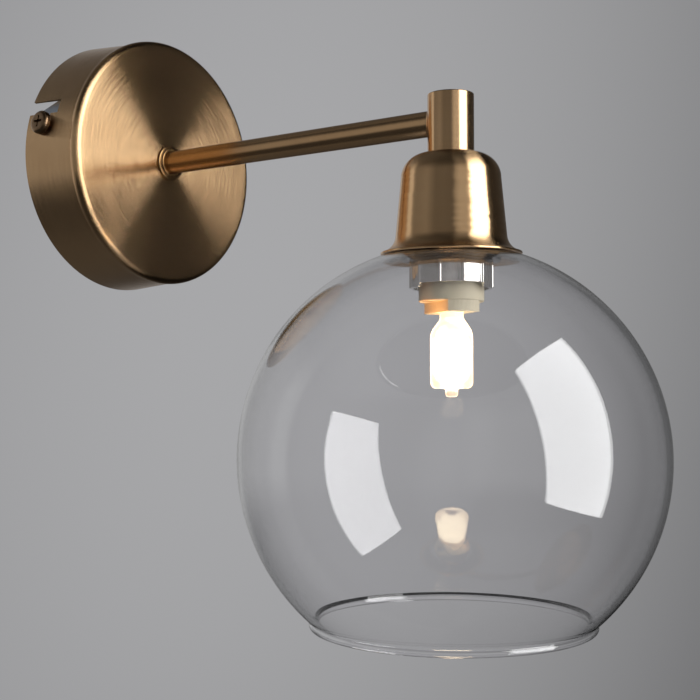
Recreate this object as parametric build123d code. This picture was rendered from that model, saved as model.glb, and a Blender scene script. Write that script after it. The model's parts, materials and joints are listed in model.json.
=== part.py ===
from build123d import *
import math
import os

# Globe wall sconce, in millimetres.
# Origin: centre of the wall face, on the arm's axis. The wall is the plane y = 0, the arm runs
# out along -Y, +Z is up and +X is to the right when facing the wall.

# Clearances
fit_gap = 0.03  # radial, between pieces that are fixed to each other
turn_gap = 0.3  # between pieces that twist or slide past each other
seat_gap = 0.4  # under the bell's rim, where the globe seats
thread_gap = 0.08  # radial, lock ring on the holder sleeve
sleeve_washer_gap = 0.4  # radial, shade washer round the holder sleeve
sleeve_glass_gap = 1.05  # radial, globe's top hole round the holder sleeve
sleeve_holder_gap = 0.5  # radial, ceramic in the holder sleeve

# Canopy: a pressed cup that widens slightly towards the wall, with a rolled front edge
canopy_back_d = 104.0
canopy_front_d = 101.2  # across the rolled edge
canopy_depth = 28.5
canopy_wall = 0.9
canopy_roll_r = 2.7
canopy_roll_proud = 0.55  # the roll stands out past the side by this much
notch_w = 6.0  # mouth of each bayonet slot, at the back rim
notch_depth = 15.0
twist_deg = 8.3  # turn from the screw's seat to the mouth

# Wall bracket: a zinc strip with two bent ears
bracket_turn = 12.0  # degrees about the wall axis, left end up
bracket_t = 1.5
bracket_w = 22.0
bracket_bend_r = 1.0
ear_len = 16.0
ear_tip_w = 22.4
ear_neck_w = 14.6
ear_taper = 12.0  # the ear reaches its full width this far from the wall
ear_gap = 0.6  # ear corners to the canopy's inside
neck_len = 6.0  # the strip is narrow this far in from each ear
collar_t = 1.5  # height of the drawn collars round the tapped holes
collar_w = 1.5  # wall of the drawn collars
cable_hole_d = 12.0
wall_hole_d = 5.0
wall_hole_pcd = 64.0
earth_hole_at = 19.0

# Side screws and earth screw
side_screw_d = 4.0
side_screw_head_d = 9.4
side_screw_head_h = 2.7
side_screw_len = 10.5
side_screw_y = 9.0  # height of the screws over the wall
earth_screw_d = 4.0
earth_screw_head_d = 7.6
earth_screw_head_h = 2.4
earth_washer_d = 8.6
earth_washer_t = 0.9

# Arm and its fixings behind the canopy's face
arm_reach = 167.0  # wall to the post's axis
arm_d = 9.2
arm_bore_d = 7.0
arm_end_bevel = 0.8
arm_collar_d = 14.6
arm_collar_step_d = 12.2
arm_collar_t = 1.3
arm_collar_step_t = 0.9
arm_nipple_d = 8.0
arm_nipple_bore_d = 5.6
arm_nipple_grip = 14.0  # length held in the arm
arm_nipple_proud = 1.5  # past the nut
plate_t = 1.5
plate_margin = 11.0
lug_t = 0.8
lug_d = 13.4
lug_barrel_l = 6.0
lug_barrel_wall = 0.5
lock_washer_t = 0.8
lock_washer_d = 13.0
arm_nut_af = 13.0
arm_nut_t = 4.0
bush_flange_t = 0.8
bush_l = 5.0
bush_wall = 0.5

# Post
post_d = 16.4
post_top = 9.4
post_chamber_d = 12.4
post_thread_l = 5.8
post_cap_t = 3.0
post_edge_r = 0.4

# Bell cup
bell_top = -11.8
bell_rim = -47.3
bell_wall = 0.8
bell_shoulder_d = 35.26
bell_shoulder_r = 8.6
bell_waist_d = 39.2
bell_flare_h = 5.6  # the flare starts this far over the rim's upper edge
bell_rim_d = 49.2

# Nipple, washer and nut that hold the bell to the post
nipple_d = 10.0
nipple_bore_d = 7.0
bell_washer_d = 18.0
bell_washer_t = 1.0
bell_nut_af = 14.0
bell_nut_t = 4.0

# Holder sleeve and its grub screw
sleeve_d = 26.4
sleeve_wall = 1.2
sleeve_disc_t = 1.5
sleeve_disc_top = -34.0
sleeve_bottom = -57.3
sleeve_collar_d = 13.6
sleeve_collar_h = 6.0
grub_d = 3.0
grub_l = 3.0

# Ceramic lampholder
holder_turn = 58.5  # degrees about the post's axis, from +X to the line through the two pins
holder_body_bottom = -63.9
holder_boss_bottom = -67.7
holder_boss_t = 12.0
chamber_l = 14.0
chamber_w = 8.0
chamber_bottom = -50.5
well_l = 3.0
well_w = 4.4
slot_gap = 0.4  # round the lamp's pinch
holder_screw_d = 2.5
holder_screw_head_d = 4.4
holder_screw_head_h = 1.7
holder_screw_rim = 2.9  # screw axes to the ceramic's rim
holder_screw_sunk = 2.6

# Contacts
contact_t = 0.4
contact_w = 3.6
contact_l = 9.5
contact_grip_gap = 0.15
contact_bridge_w = 5.4
crimp_wall = 0.5
crimp_l = 3.6

# Capsule lamp
pin_pitch = 9.0
pin_wire_d = 0.8
pin_loop_w = 2.4
pin_top_gap = 0.5  # loop to the contact's bridge
pin_sunk = 2.0  # length sealed in the pinch
pinch_w = 12.5
pinch_t = 4.4
pinch_top = -62.5
pinch_edge_r = 1.2
capsule_d = 15.0
capsule_top = -70.8
capsule_shoulder_r = 5.0
capsule_bottom = -94.3
capsule_foot_r = 2.2
capsule_wall = 1.0
capsule_tip_d = 4.4
capsule_tip_bottom = -97.2
filament_d = 1.0
filament_lead_d = 0.5
filament_at = -82.0

# Glass globe
globe_r = 75.0
glass_t = 2.0
globe_neck_d = 99.2  # the crease where the lip starts
lip_r = 1.35
lip_out = 0.5  # the lip stands out past the crease

# Washer and lock ring
shade_washer_w = 4.0  # hole to rim
shade_washer_t = 1.2
ring_wall = 1.15
ring_rib_h = 0.45
ring_rib_w = 1.0
ring_ribs = 11
ring_bottom = -59.1
ring_land_h = 1.2  # two side lands reach this much lower than the front and back
ring_land_arc = 80.0
ring_rib_at = -1.1  # degrees about the post's axis, from +X to the first rib
ring_gap_at = 33.0  # from +X to the middle of a gap between the lands

# Leads and terminal block
lead_d = 1.9
lead_pitch = 2.1
pole_pitch = 8.0
poles = 3
block_x = 20.0  # wire entry of the block, from the arm's axis
block_l = 17.0
block_h = 12.0
block_margin = 4.0  # outer poles to the block's ends
block_top_pole_z = -5.5
block_groove_l = 4.2  # grooves between the poles, where the block is cut apart
block_groove_w = 1.6
block_groove_h = 2.0
pole_h = 5.5  # pole axis over the backing plate
clamp_side = 5.0
clamp_bore_d = 3.2
clamp_inset = 1.0
terminal_screw_d = 2.6
terminal_screw_head_d = 3.2
terminal_screw_head_h = 1.6
block_screw_d = 3.0
block_screw_head_d = 5.2
block_screw_head_h = 1.8
block_screw_sunk = 4.0
loop_y = -10.0  # the leads' loops keep this far from the wall
lead_in_block = 6.0

# Places worked out from the sizes above
canopy_back_r = canopy_back_d / 2
canopy_front_r = canopy_front_d / 2
canopy_face_y = -canopy_depth
canopy_inner_face_y = canopy_face_y + canopy_wall
roll_centre_r = canopy_front_r - canopy_roll_r
roll_centre_y = -(canopy_depth - canopy_roll_r)
canopy_side_r = canopy_front_r - canopy_roll_proud
roll_join_y = roll_centre_y + math.sqrt(canopy_roll_r**2 - (canopy_side_r - roll_centre_r) ** 2)
plate_y = canopy_inner_face_y + plate_t
lug_y = plate_y + lug_t
lock_washer_y = lug_y + lock_washer_t
arm_nut_y = lock_washer_y + arm_nut_t
arm_nipple_end_y = arm_nut_y + arm_nipple_proud
post_r = post_d / 2
post_y = -arm_reach
arm_end_y = post_y + post_r
pole_y = plate_y + pole_h
block_z = [block_top_pole_z - pole_pitch * i for i in range(poles)]
block_mid_z = (block_z[0] + block_z[-1]) / 2
block_len_z = pole_pitch * (poles - 1) + 2 * block_margin
capsule_r = capsule_d / 2
bridge_top = chamber_bottom + contact_t
pin_top = chamber_bottom - pin_top_gap
holder_d = sleeve_d - 2 * (sleeve_wall + sleeve_holder_gap)
holder_screw_at = holder_d / 2 - holder_screw_rim
globe_hole_d = sleeve_d + 2 * sleeve_glass_gap
shade_washer_hole_d = sleeve_d + 2 * sleeve_washer_gap
shade_washer_d = shade_washer_hole_d + 2 * shade_washer_w
globe_z = bell_rim - seat_gap - math.sqrt(globe_r**2 - (bell_rim_d / 2) ** 2)
glass_inner_r = globe_r - glass_t
washer_top = globe_z + math.sqrt(glass_inner_r**2 - (shade_washer_d / 2) ** 2) - fit_gap
ring_top = washer_top - shade_washer_t - fit_gap
ring_bore_r = sleeve_d / 2 + thread_gap
holder_hole_d = holder_screw_d + 2 * fit_gap

post_at = Pos(0, post_y, 0)
holder_at = Pos(0, post_y, 0) * Rot(0, 0, holder_turn)
bracket_at = Rot(0, bracket_turn, 0)


# Shared shapes
def outline(points, along):
    """A closed face from (radius, height) corners; a third value marks the middle of an arc."""
    place = (lambda p: (p[0], 0, p[1])) if along == Axis.Z else (lambda p: (p[0], p[1], 0))
    corners = points + [points[0]]
    edges = []
    i = 0
    while i < len(corners) - 1:
        if len(corners[i + 1]) == 3:
            edges.append(ThreePointArc(place(corners[i]), place(corners[i + 1]), place(corners[i + 2])))
            i += 2
        else:
            edges.append(Line(place(corners[i]), place(corners[i + 1])))
            i += 1
    return make_face(edges)


def turned(points, along=Axis.Z):
    """A turned piece from its half outline."""
    return revolve(outline(points, along), along)


def arc_mid(centre, radius, start_deg, end_deg):
    """The middle of an arc, marked for outline()."""
    mid = math.radians((start_deg + end_deg) / 2)
    return (centre[0] + radius * math.cos(mid), centre[1] + radius * math.sin(mid), "arc")


def tube(outer_d, inner_d, bottom, top):
    """A tube along Z between two heights."""
    height = top - bottom
    body = Cylinder(outer_d / 2, height) - Cylinder(inner_d / 2, 2 * height)
    return Pos(0, 0, (bottom + top) / 2) * body


def rod(diameter, bottom, top):
    """A round bar along Z between two heights."""
    return Pos(0, 0, (bottom + top) / 2) * Cylinder(diameter / 2, top - bottom)


def block(x0, x1, y0, y1, z0, z1):
    """A box between two corners."""
    return Pos((x0 + x1) / 2, (y0 + y1) / 2, (z0 + z1) / 2) * Box(x1 - x0, y1 - y0, z1 - z0)


def from_wall(piece, y):
    """Stands a piece made along Z on the height y, pointing back to the wall (+Y)."""
    return Pos(0, y, 0) * Rot(-90, 0, 0) * piece


def hexagon(across_flats, bore_d, thickness):
    """A nut from z = 0 upwards, with chamfered corners."""
    corner_r = across_flats / math.sqrt(3)
    bevel = (corner_r - across_flats / 2) / 2
    blank = extrude(RegularPolygon(across_flats / 2, 6, major_radius=False), thickness)
    crown = turned([
        (0, 0),
        (corner_r - bevel, 0),
        (corner_r, bevel),
        (corner_r, thickness - bevel),
        (corner_r - bevel, thickness),
        (0, thickness),
    ])
    return (blank & crown) - Cylinder(bore_d / 2, 4 * thickness)


def cross_recess(width, depth, top):
    """The tool that cuts a cross slot down from the height top."""
    arm = width / 5
    cross = Box(width, arm, 2 * depth) + Box(arm, width, 2 * depth)
    return Pos(0, 0, top) * cross


def pan_screw(diameter, length, head_d, head_h):
    """A pan head screw: head from z = 0 upwards, shank below."""
    head_r = head_d / 2
    edge = head_h * 0.55
    head = turned([
        (0, 0),
        (head_r, 0),
        (head_r, head_h - edge),
        arc_mid((head_r - edge, head_h - edge), edge, 0, 90),
        (head_r - edge, head_h),
        (0, head_h),
    ])
    tip = diameter / 6
    shank = turned([
        (0, 0),
        (0, -length),
        (diameter / 2 - tip, -length),
        (diameter / 2, -length + tip),
        (diameter / 2, 0),
    ])
    return head + shank - cross_recess(head_d * 0.5, head_h * 0.6, head_h)


# Pieces on the wall
def canopy_outer_r(y):
    """Outer radius of the canopy's side at a height over the wall."""
    share = -y / -roll_join_y
    return canopy_back_r + (canopy_side_r - canopy_back_r) * share


def canopy():
    roll_start = math.degrees(math.acos((canopy_side_r - roll_centre_r) / canopy_roll_r))
    roll_centre = (roll_centre_r, roll_centre_y)
    outer = turned([
        (0, 0),
        (canopy_back_r, 0),
        (canopy_side_r, roll_join_y),
        arc_mid(roll_centre, canopy_roll_r, roll_start, -90),
        (roll_centre_r, canopy_face_y),
        (0, canopy_face_y),
    ], Axis.Y)
    bend_r = canopy_roll_r - canopy_wall
    inner_side_r = canopy_side_r - canopy_wall
    bend_start = math.degrees(math.acos(min(1.0, max(-1.0, (inner_side_r - roll_centre_r) / bend_r))))
    bend_y = roll_centre_y + bend_r * math.sin(math.radians(bend_start))
    inner = turned([
        (0, canopy_wall),
        (canopy_back_r - canopy_wall, canopy_wall),
        (canopy_back_r - canopy_wall, 0),
        (inner_side_r, bend_y),
        arc_mid(roll_centre, bend_r, bend_start, -90),
        (roll_centre_r, canopy_inner_face_y),
        (0, canopy_inner_face_y),
    ], Axis.Y)
    centre_hole = rod(arm_nipple_d + 2 * turn_gap, -canopy_wall, 2 * canopy_wall)
    shell = outer - inner - from_wall(centre_hole, canopy_face_y)
    for side in (-1, 1):
        shell -= bayonet_slot(side)
    return shell


def bayonet_slot(side):
    """The tool for one slot: a mouth at the back rim and a leg round to the screw's seat."""
    leg_w = side_screw_d + 2 * turn_gap
    far = canopy_back_r + canopy_wall
    near = canopy_side_r - 4 * canopy_wall
    mid = side * (far + near) / 2
    mouth = Rot(0, twist_deg, 0) * block(
        min(side * near, side * far), max(side * near, side * far),
        -notch_depth, canopy_wall, -notch_w / 2, notch_w / 2,
    )
    leg_face = Pos(mid, -side_screw_y) * Rectangle(far - near, leg_w)
    leg = revolve(leg_face, Axis.Y, twist_deg)
    seat = Pos(mid, -side_screw_y, 0) * Rot(0, 90, 0) * Cylinder(leg_w / 2, far - near)
    return bracket_at * (mouth + leg + seat)


def ear_distance():
    """Outer face of the ears from the centre, so that their corners clear the canopy."""
    inside = canopy_outer_r(-ear_len) - canopy_wall
    return math.sqrt(inside**2 - (ear_tip_w / 2) ** 2) - ear_gap


def wall_bracket():
    ear = ear_distance()
    width = max(ear_tip_w, bracket_w)
    section = Pos(0, -ear_len) * RectangleRounded(2 * ear, 2 * ear_len, bracket_bend_r + bracket_t)
    inside = RectangleRounded(2 * (ear - bracket_t), 2 * ear_len, bracket_bend_r)
    section -= Pos(0, -ear_len - bracket_t) * inside
    section &= Pos(0, -ear_len / 2) * Rectangle(4 * ear, ear_len)
    strip = extrude(section, width / 2, both=True)
    base = ear - bracket_t - neck_len
    for side in (-1, 1):
        # the strip between the necks
        z0, z1 = sorted((side * bracket_w / 2, side * width))
        strip -= block(-base, base, -2 * bracket_t, bracket_t, z0, z1)
        # the tapered flanks of the ears
        flank = Polyline(
            (0, bracket_t, side * ear_neck_w / 2),
            (0, -bracket_t, side * ear_neck_w / 2),
            (0, -ear_taper, side * ear_tip_w / 2),
            (0, -2 * ear_len, side * ear_tip_w / 2),
            (0, -2 * ear_len, side * width),
            (0, bracket_t, side * width),
            close=True,
        )
        wedge = extrude(make_face(flank.edges()), 2 * neck_len, dir=(1, 0, 0))
        strip -= Pos(base, 0, 0) * wedge
        strip -= Pos(-base - 2 * neck_len, 0, 0) * wedge
    tapped = side_screw_d + 2 * fit_gap
    collar = tapped + 2 * collar_w
    for side in (-1, 1):
        at = Pos(side * (ear - bracket_t), -side_screw_y, 0) * Rot(0, -90 * side, 0)
        strip += at * rod(collar, 0, collar_t)
        strip -= at * rod(tapped, -2 * bracket_t, 2 * collar_t)
    earth_tapped = earth_screw_d + 2 * fit_gap
    earth_at = Pos(-earth_hole_at, -bracket_t, 0) * Rot(90, 0, 0)
    strip += earth_at * rod(earth_tapped + 2 * collar_w, 0, collar_t)
    strip -= earth_at * rod(earth_tapped, -2 * bracket_t, 2 * collar_t)
    strip -= Rot(90, 0, 0) * Cylinder(cable_hole_d / 2, 4 * bracket_t)
    wall_hole = Rot(90, 0, 0) * Cylinder(wall_hole_d / 2, 4 * bracket_t)
    for side in (-1, 1):
        strip -= Pos(side * wall_hole_pcd / 2, 0, 0) * wall_hole
    return bracket_at * strip


def canopy_screws():
    """The heads clear the widest part of the canopy's side that they pass over."""
    head_ends = (side_screw_y - side_screw_head_d / 2, side_screw_y + side_screw_head_d / 2)
    head_at = max(canopy_outer_r(-y) for y in head_ends) + turn_gap
    screw = pan_screw(side_screw_d, side_screw_len, side_screw_head_d, side_screw_head_h)
    return [
        bracket_at * Pos(side * head_at, -side_screw_y, 0) * Rot(0, 90 * side, 0) * screw
        for side in (-1, 1)
    ]


def earth_screw():
    length = bracket_t + collar_t + earth_washer_t - fit_gap
    screw = pan_screw(earth_screw_d, length, earth_screw_head_d, earth_screw_head_h)
    head_y = -(bracket_t + collar_t + earth_washer_t)
    return bracket_at * Pos(-earth_hole_at, head_y, 0) * Rot(90, 0, 0) * screw


def earth_washer():
    ring = tube(earth_washer_d, earth_screw_d + 2 * fit_gap, 0, earth_washer_t)
    return bracket_at * Pos(-earth_hole_at, -(bracket_t + collar_t), 0) * Rot(90, 0, 0) * ring


# Pieces behind the canopy's face
def backing_plate():
    right = block_x + block_l
    bottom = block_mid_z - block_len_z / 2
    plate = block(-plate_margin, right, canopy_inner_face_y, plate_y, bottom, plate_margin)
    plate = fillet(plate.edges().filter_by(Axis.Y), plate_margin / 3)
    plate -= from_wall(rod(arm_nipple_d + 2 * fit_gap, -plate_t, 2 * plate_t), canopy_inner_face_y)
    tapped = block_screw_d + 2 * fit_gap
    for x, z in block_screw_places():
        plate -= Pos(x, plate_y, z) * Rot(90, 0, 0) * Cylinder(tapped / 2, 4 * plate_t)
    return plate


def arm_nipple():
    length = arm_nipple_end_y - canopy_face_y + arm_nipple_grip
    return from_wall(tube(arm_nipple_d, arm_nipple_bore_d, 0, length), canopy_face_y - arm_nipple_grip)


def earth_terminal():
    """Ring lug under the arm's nut, with its crimp barrel pointing down."""
    hole = arm_nipple_d + 2 * fit_gap
    barrel_r = lead_d / 2 + fit_gap + lug_barrel_wall
    start = lug_d / 2 + lug_t
    lug = from_wall(rod(lug_d, 0, lug_t), plate_y)
    lug += block(-barrel_r, barrel_r, plate_y, lug_y, -start - lug_barrel_l, 0)
    lug += Pos(0, plate_y + barrel_r, 0) * rod(2 * barrel_r, -start - lug_barrel_l, -start)
    lug -= from_wall(rod(hole, -lug_t, 2 * lug_t), plate_y)
    barrel_bore = rod(lead_d + 2 * fit_gap, -start - 2 * lug_barrel_l, -start + lug_t)
    lug -= Pos(0, plate_y + barrel_r, 0) * barrel_bore
    return lug


def arm_lock_washer():
    return from_wall(tube(lock_washer_d, arm_nipple_d + 2 * fit_gap, 0, lock_washer_t), lug_y)


def arm_nut():
    return from_wall(hexagon(arm_nut_af, arm_nipple_d + 2 * fit_gap, arm_nut_t), lock_washer_y)


def nipple_bush():
    liner_d = arm_nipple_bore_d - 2 * fit_gap
    hole = liner_d - 2 * bush_wall
    liner = tube(liner_d, hole, -bush_l, bush_flange_t) + tube(arm_nipple_d, hole, 0, bush_flange_t)
    return from_wall(liner, arm_nipple_end_y)


# Arm and post
def arm_tube():
    r = arm_d / 2
    spigot_r = r - arm_end_bevel
    spigot_end_y = post_y + post_chamber_d / 2 + turn_gap
    body = turned([
        (0, canopy_face_y),
        (r, canopy_face_y),
        (r, arm_end_y + arm_end_bevel),
        (spigot_r, arm_end_y),
        (spigot_r, spigot_end_y),
        (0, spigot_end_y),
    ], Axis.Y)
    body -= from_wall(rod(arm_bore_d, 0, arm_reach), post_y)
    socket = rod(arm_nipple_d + 2 * fit_gap, 0, 2 * arm_nipple_grip)
    return body - from_wall(socket, canopy_face_y - arm_nipple_grip)


def arm_collar():
    hole = arm_d / 2 + fit_gap
    step_r = arm_collar_step_d / 2
    outer_r = arm_collar_d / 2
    edge = arm_collar_step_t / 2
    top = canopy_face_y - arm_collar_t - arm_collar_step_t
    return turned([
        (hole, canopy_face_y),
        (outer_r, canopy_face_y),
        (outer_r, canopy_face_y - arm_collar_t + edge),
        arc_mid((outer_r - edge, canopy_face_y - arm_collar_t + edge), edge, 0, -90),
        (outer_r - edge, canopy_face_y - arm_collar_t),
        (step_r, canopy_face_y - arm_collar_t),
        (step_r, top + edge),
        arc_mid((step_r - edge, top + edge), edge, 0, -90),
        (step_r - edge, top),
        (hole, top),
    ], Axis.Y)


def post():
    floor = bell_top + post_thread_l
    body = turned([
        (0, bell_top),
        (post_r, bell_top),
        (post_r, post_top - post_edge_r),
        arc_mid((post_r - post_edge_r, post_top - post_edge_r), post_edge_r, 0, 90),
        (post_r - post_edge_r, post_top),
        (0, post_top),
    ])
    body -= rod(post_chamber_d, floor, 2 * post_top)
    body -= rod(nipple_d, 2 * bell_top, floor + fit_gap)
    spigot_d = arm_d - 2 * arm_end_bevel
    body -= Rot(-90, 0, 0) * rod(spigot_d + 2 * fit_gap, 0, post_d)
    return post_at * body


def post_cap():
    cap = rod(post_chamber_d - 2 * fit_gap, post_top - post_cap_t, post_top)
    return post_at * cap


# Bell and what holds it
def post_nipple():
    top = bell_top + post_thread_l - turn_gap
    bottom = sleeve_disc_top - sleeve_disc_t + turn_gap
    return post_at * tube(nipple_d - 2 * fit_gap, nipple_bore_d, bottom, top)


def bell_profile(inset):
    """Corners of the bell's outside, or of its inside when inset by the wall, from the top down."""
    shoulder_r = bell_shoulder_r - inset
    side_r = bell_shoulder_d / 2 - inset
    shoulder = (side_r - shoulder_r, bell_top - inset - shoulder_r)
    waist = (bell_waist_d / 2 - inset, bell_rim + bell_wall + bell_flare_h)
    lean = math.atan2(waist[0] - side_r, shoulder[1] - waist[1])
    chord = (bell_rim_d / 2 - bell_waist_d / 2, -bell_flare_h)
    half_turn = math.atan2(chord[0], -chord[1]) - lean
    flare_r = math.hypot(*chord) / 2 / math.sin(half_turn)
    centre = (
        bell_waist_d / 2 + flare_r * math.cos(lean),
        waist[1] + flare_r * math.sin(lean),
    )
    radius = flare_r + inset
    start = math.pi + lean
    end = start + 2 * half_turn
    point = lambda a: (centre[0] + radius * math.cos(a), centre[1] + radius * math.sin(a))
    mid = point((start + end) / 2)
    return [
        (shoulder[0], shoulder[1] + shoulder_r),
        arc_mid(shoulder, shoulder_r, 0, 90),
        (side_r, shoulder[1]),
        point(start),
        (mid[0], mid[1], "arc"),
        point(end),
    ]


def bell_cup():
    outside = bell_profile(0)
    inside = bell_profile(bell_wall)
    out_end = outside[-1]
    in_end = inside[-1]
    bulge = bell_wall * 0.45
    direction = math.atan2(out_end[1] - in_end[1], out_end[0] - in_end[0]) - math.pi / 2
    edge_mid = (
        (out_end[0] + in_end[0]) / 2 + bulge * math.cos(direction),
        (out_end[1] + in_end[1]) / 2 + bulge * math.sin(direction),
        "arc",
    )
    hole_r = nipple_d / 2 + turn_gap
    shell = [(hole_r, bell_top)] + outside + [edge_mid] + inside[::-1] + [(hole_r, bell_top - bell_wall)]
    return post_at * turned(shell)


def bell_washer():
    top = bell_top - bell_wall
    return post_at * tube(bell_washer_d, nipple_d, top - bell_washer_t, top)


def bell_nut():
    top = bell_top - bell_wall - bell_washer_t
    return post_at * Pos(0, 0, top - bell_nut_t) * hexagon(bell_nut_af, nipple_d, bell_nut_t)


# Lampholder
def holder_sleeve():
    cup = tube(sleeve_d, sleeve_d - 2 * sleeve_wall, sleeve_bottom, sleeve_disc_top)
    cup += rod(sleeve_d - sleeve_wall, sleeve_disc_top - sleeve_disc_t, sleeve_disc_top)
    cup += rod(sleeve_collar_d, sleeve_disc_top - sleeve_disc_t, sleeve_disc_top + sleeve_collar_h)
    cup -= rod(nipple_d, sleeve_disc_top - 2 * sleeve_disc_t, sleeve_disc_top + 2 * sleeve_collar_h)
    grub_hole = rod(grub_d + 2 * fit_gap, 0, sleeve_collar_d)
    cup -= Pos(0, 0, sleeve_disc_top + sleeve_collar_h / 2) * Rot(0, 90, 0) * grub_hole
    disc_bottom = sleeve_disc_top - 2 * sleeve_disc_t
    screw_hole = rod(holder_hole_d, disc_bottom, sleeve_disc_top + sleeve_disc_t)
    for side in (-1, 1):
        cup -= Pos(0, side * holder_screw_at, 0) * screw_hole
    return holder_at * cup


def sleeve_grub_screw():
    start = nipple_d / 2 + fit_gap
    grub = rod(grub_d, start, start + grub_l)
    grub -= Pos(0, 0, start + grub_l) * Box(grub_d * 1.2, grub_d / 5, grub_d / 2)
    return holder_at * Pos(0, 0, sleeve_disc_top + sleeve_collar_h / 2) * Rot(0, 90, 0) * grub


def lampholder_body():
    top = sleeve_disc_top - sleeve_disc_t
    edge = 0.6
    body = turned([
        (0, holder_body_bottom),
        (holder_d / 2 - edge, holder_body_bottom),
        arc_mid((holder_d / 2 - edge, holder_body_bottom + edge), edge, -90, 0),
        (holder_d / 2, holder_body_bottom + edge),
        (holder_d / 2, top),
        (0, top),
    ])
    boss = rod(holder_d - edge, holder_boss_bottom, holder_body_bottom + edge)
    half_t = holder_boss_t / 2
    boss &= block(-holder_d, holder_d, -half_t, half_t, 2 * holder_boss_bottom, 0)
    body += boss
    body -= block(-chamber_l / 2, chamber_l / 2, -chamber_w / 2, chamber_w / 2, chamber_bottom, top + edge)
    slot_l = pinch_w / 2 + slot_gap
    slot_w = pinch_t / 2 + slot_gap
    body -= block(-slot_l, slot_l, -slot_w, slot_w, 2 * holder_boss_bottom, pinch_top + 2 * slot_gap)
    half_l, half_w = well_l / 2, well_w / 2
    for side in (-1, 1):
        x = side * pin_pitch / 2
        body -= block(x - half_l, x + half_l, -half_w, half_w, pinch_top, chamber_bottom + edge)
        seat = Pos(0, side * holder_screw_at, 0)
        body -= seat * rod(holder_hole_d, 2 * holder_boss_bottom, 0)
        sink_d = holder_screw_head_d + slot_gap
        body -= seat * rod(sink_d, 2 * holder_boss_bottom, holder_body_bottom + holder_screw_sunk)
    return holder_at * body


def lampholder_screws():
    head_z = holder_body_bottom + holder_screw_sunk
    length = sleeve_disc_top - head_z - fit_gap
    screw = Rot(180, 0, 0) * pan_screw(holder_screw_d, length, holder_screw_head_d, holder_screw_head_h)
    return [holder_at * Pos(0, side * holder_screw_at, head_z) * screw for side in (-1, 1)]


def lampholder_contacts():
    inner = pin_wire_d / 2 + contact_grip_gap
    outer = inner + contact_t
    crimp_bore = lead_d + 2 * fit_gap
    contact = block(-outer, outer, -contact_bridge_w / 2, contact_bridge_w / 2, chamber_bottom, bridge_top)
    for side in (-1, 1):
        x0, x1 = sorted((side * inner, side * outer))
        contact += block(x0, x1, -contact_w / 2, contact_w / 2, chamber_bottom - contact_l, bridge_top)
    contact += tube(crimp_bore + 2 * crimp_wall, crimp_bore, bridge_top, bridge_top + crimp_l)
    return [holder_at * Pos(side * pin_pitch / 2, 0, 0) * contact for side in (-1, 1)]


# Capsule lamp
def pin_loop():
    half = pin_loop_w / 2
    bottom = pinch_top - pin_sunk
    crown = pin_top - pin_wire_d / 2 - half
    path = Wire([
        Line((0, -half, bottom), (0, -half, crown)),
        ThreePointArc((0, -half, crown), (0, 0, crown + half), (0, half, crown)),
        Line((0, half, crown), (0, half, bottom)),
    ])
    return sweep(Plane((0, -half, bottom)) * Circle(pin_wire_d / 2), path)


def bulb_pins():
    return [holder_at * Pos(side * pin_pitch / 2, 0, 0) * pin_loop() for side in (-1, 1)]


def capsule_profile(inset):
    """Half outline of the capsule, or of its hollow when inset by the wall."""
    side_r = capsule_r - inset
    shoulder_r = capsule_shoulder_r - inset
    foot_r = max(capsule_foot_r - inset, 0.2)
    top = capsule_top - 1.5 * inset
    bottom = capsule_bottom + inset
    return [
        (0, top),
        (side_r - shoulder_r, top),
        arc_mid((side_r - shoulder_r, top - shoulder_r), shoulder_r, 90, 0),
        (side_r, top - shoulder_r),
        (side_r, bottom + foot_r),
        arc_mid((side_r - foot_r, bottom + foot_r), foot_r, 0, -90),
        (side_r - foot_r, bottom),
        (0, bottom),
    ]


def bulb_envelope():
    body = turned(capsule_profile(0))
    tip_r = capsule_tip_d / 2
    edge = tip_r * 0.6
    body += turned([
        (0, capsule_tip_bottom),
        (tip_r - edge, capsule_tip_bottom),
        arc_mid((tip_r - edge, capsule_tip_bottom + edge), edge, -90, 0),
        (tip_r, capsule_tip_bottom + edge),
        (tip_r, capsule_bottom + capsule_wall),
        (0, capsule_bottom + capsule_wall),
    ])
    sunk = capsule_shoulder_r * 0.7
    pinch = block(-pinch_w / 2, pinch_w / 2, -pinch_t / 2, pinch_t / 2, capsule_top - sunk, pinch_top)
    body += fillet(pinch.edges().filter_by(Axis.Z), pinch_edge_r)
    body -= turned(capsule_profile(capsule_wall + turn_gap))
    body = holder_at * body
    for wire in bulb_pins():
        body -= wire
    return body - bulb_filament()


def bulb_filament():
    """Coiled wire on two lead-in wires that are sealed in the pinch, under the pins."""
    r = filament_lead_d / 2
    half = pin_pitch / 2
    top = pinch_top - pin_sunk - capsule_wall
    shape = Pos(0, 0, filament_at) * Rot(0, 90, 0) * Cylinder(filament_d / 2, pin_pitch - 2 * r)
    for side in (-1, 1):
        shape += Pos(side * (half - r), 0, 0) * rod(filament_lead_d, filament_at, top)
    return holder_at * shape


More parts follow.
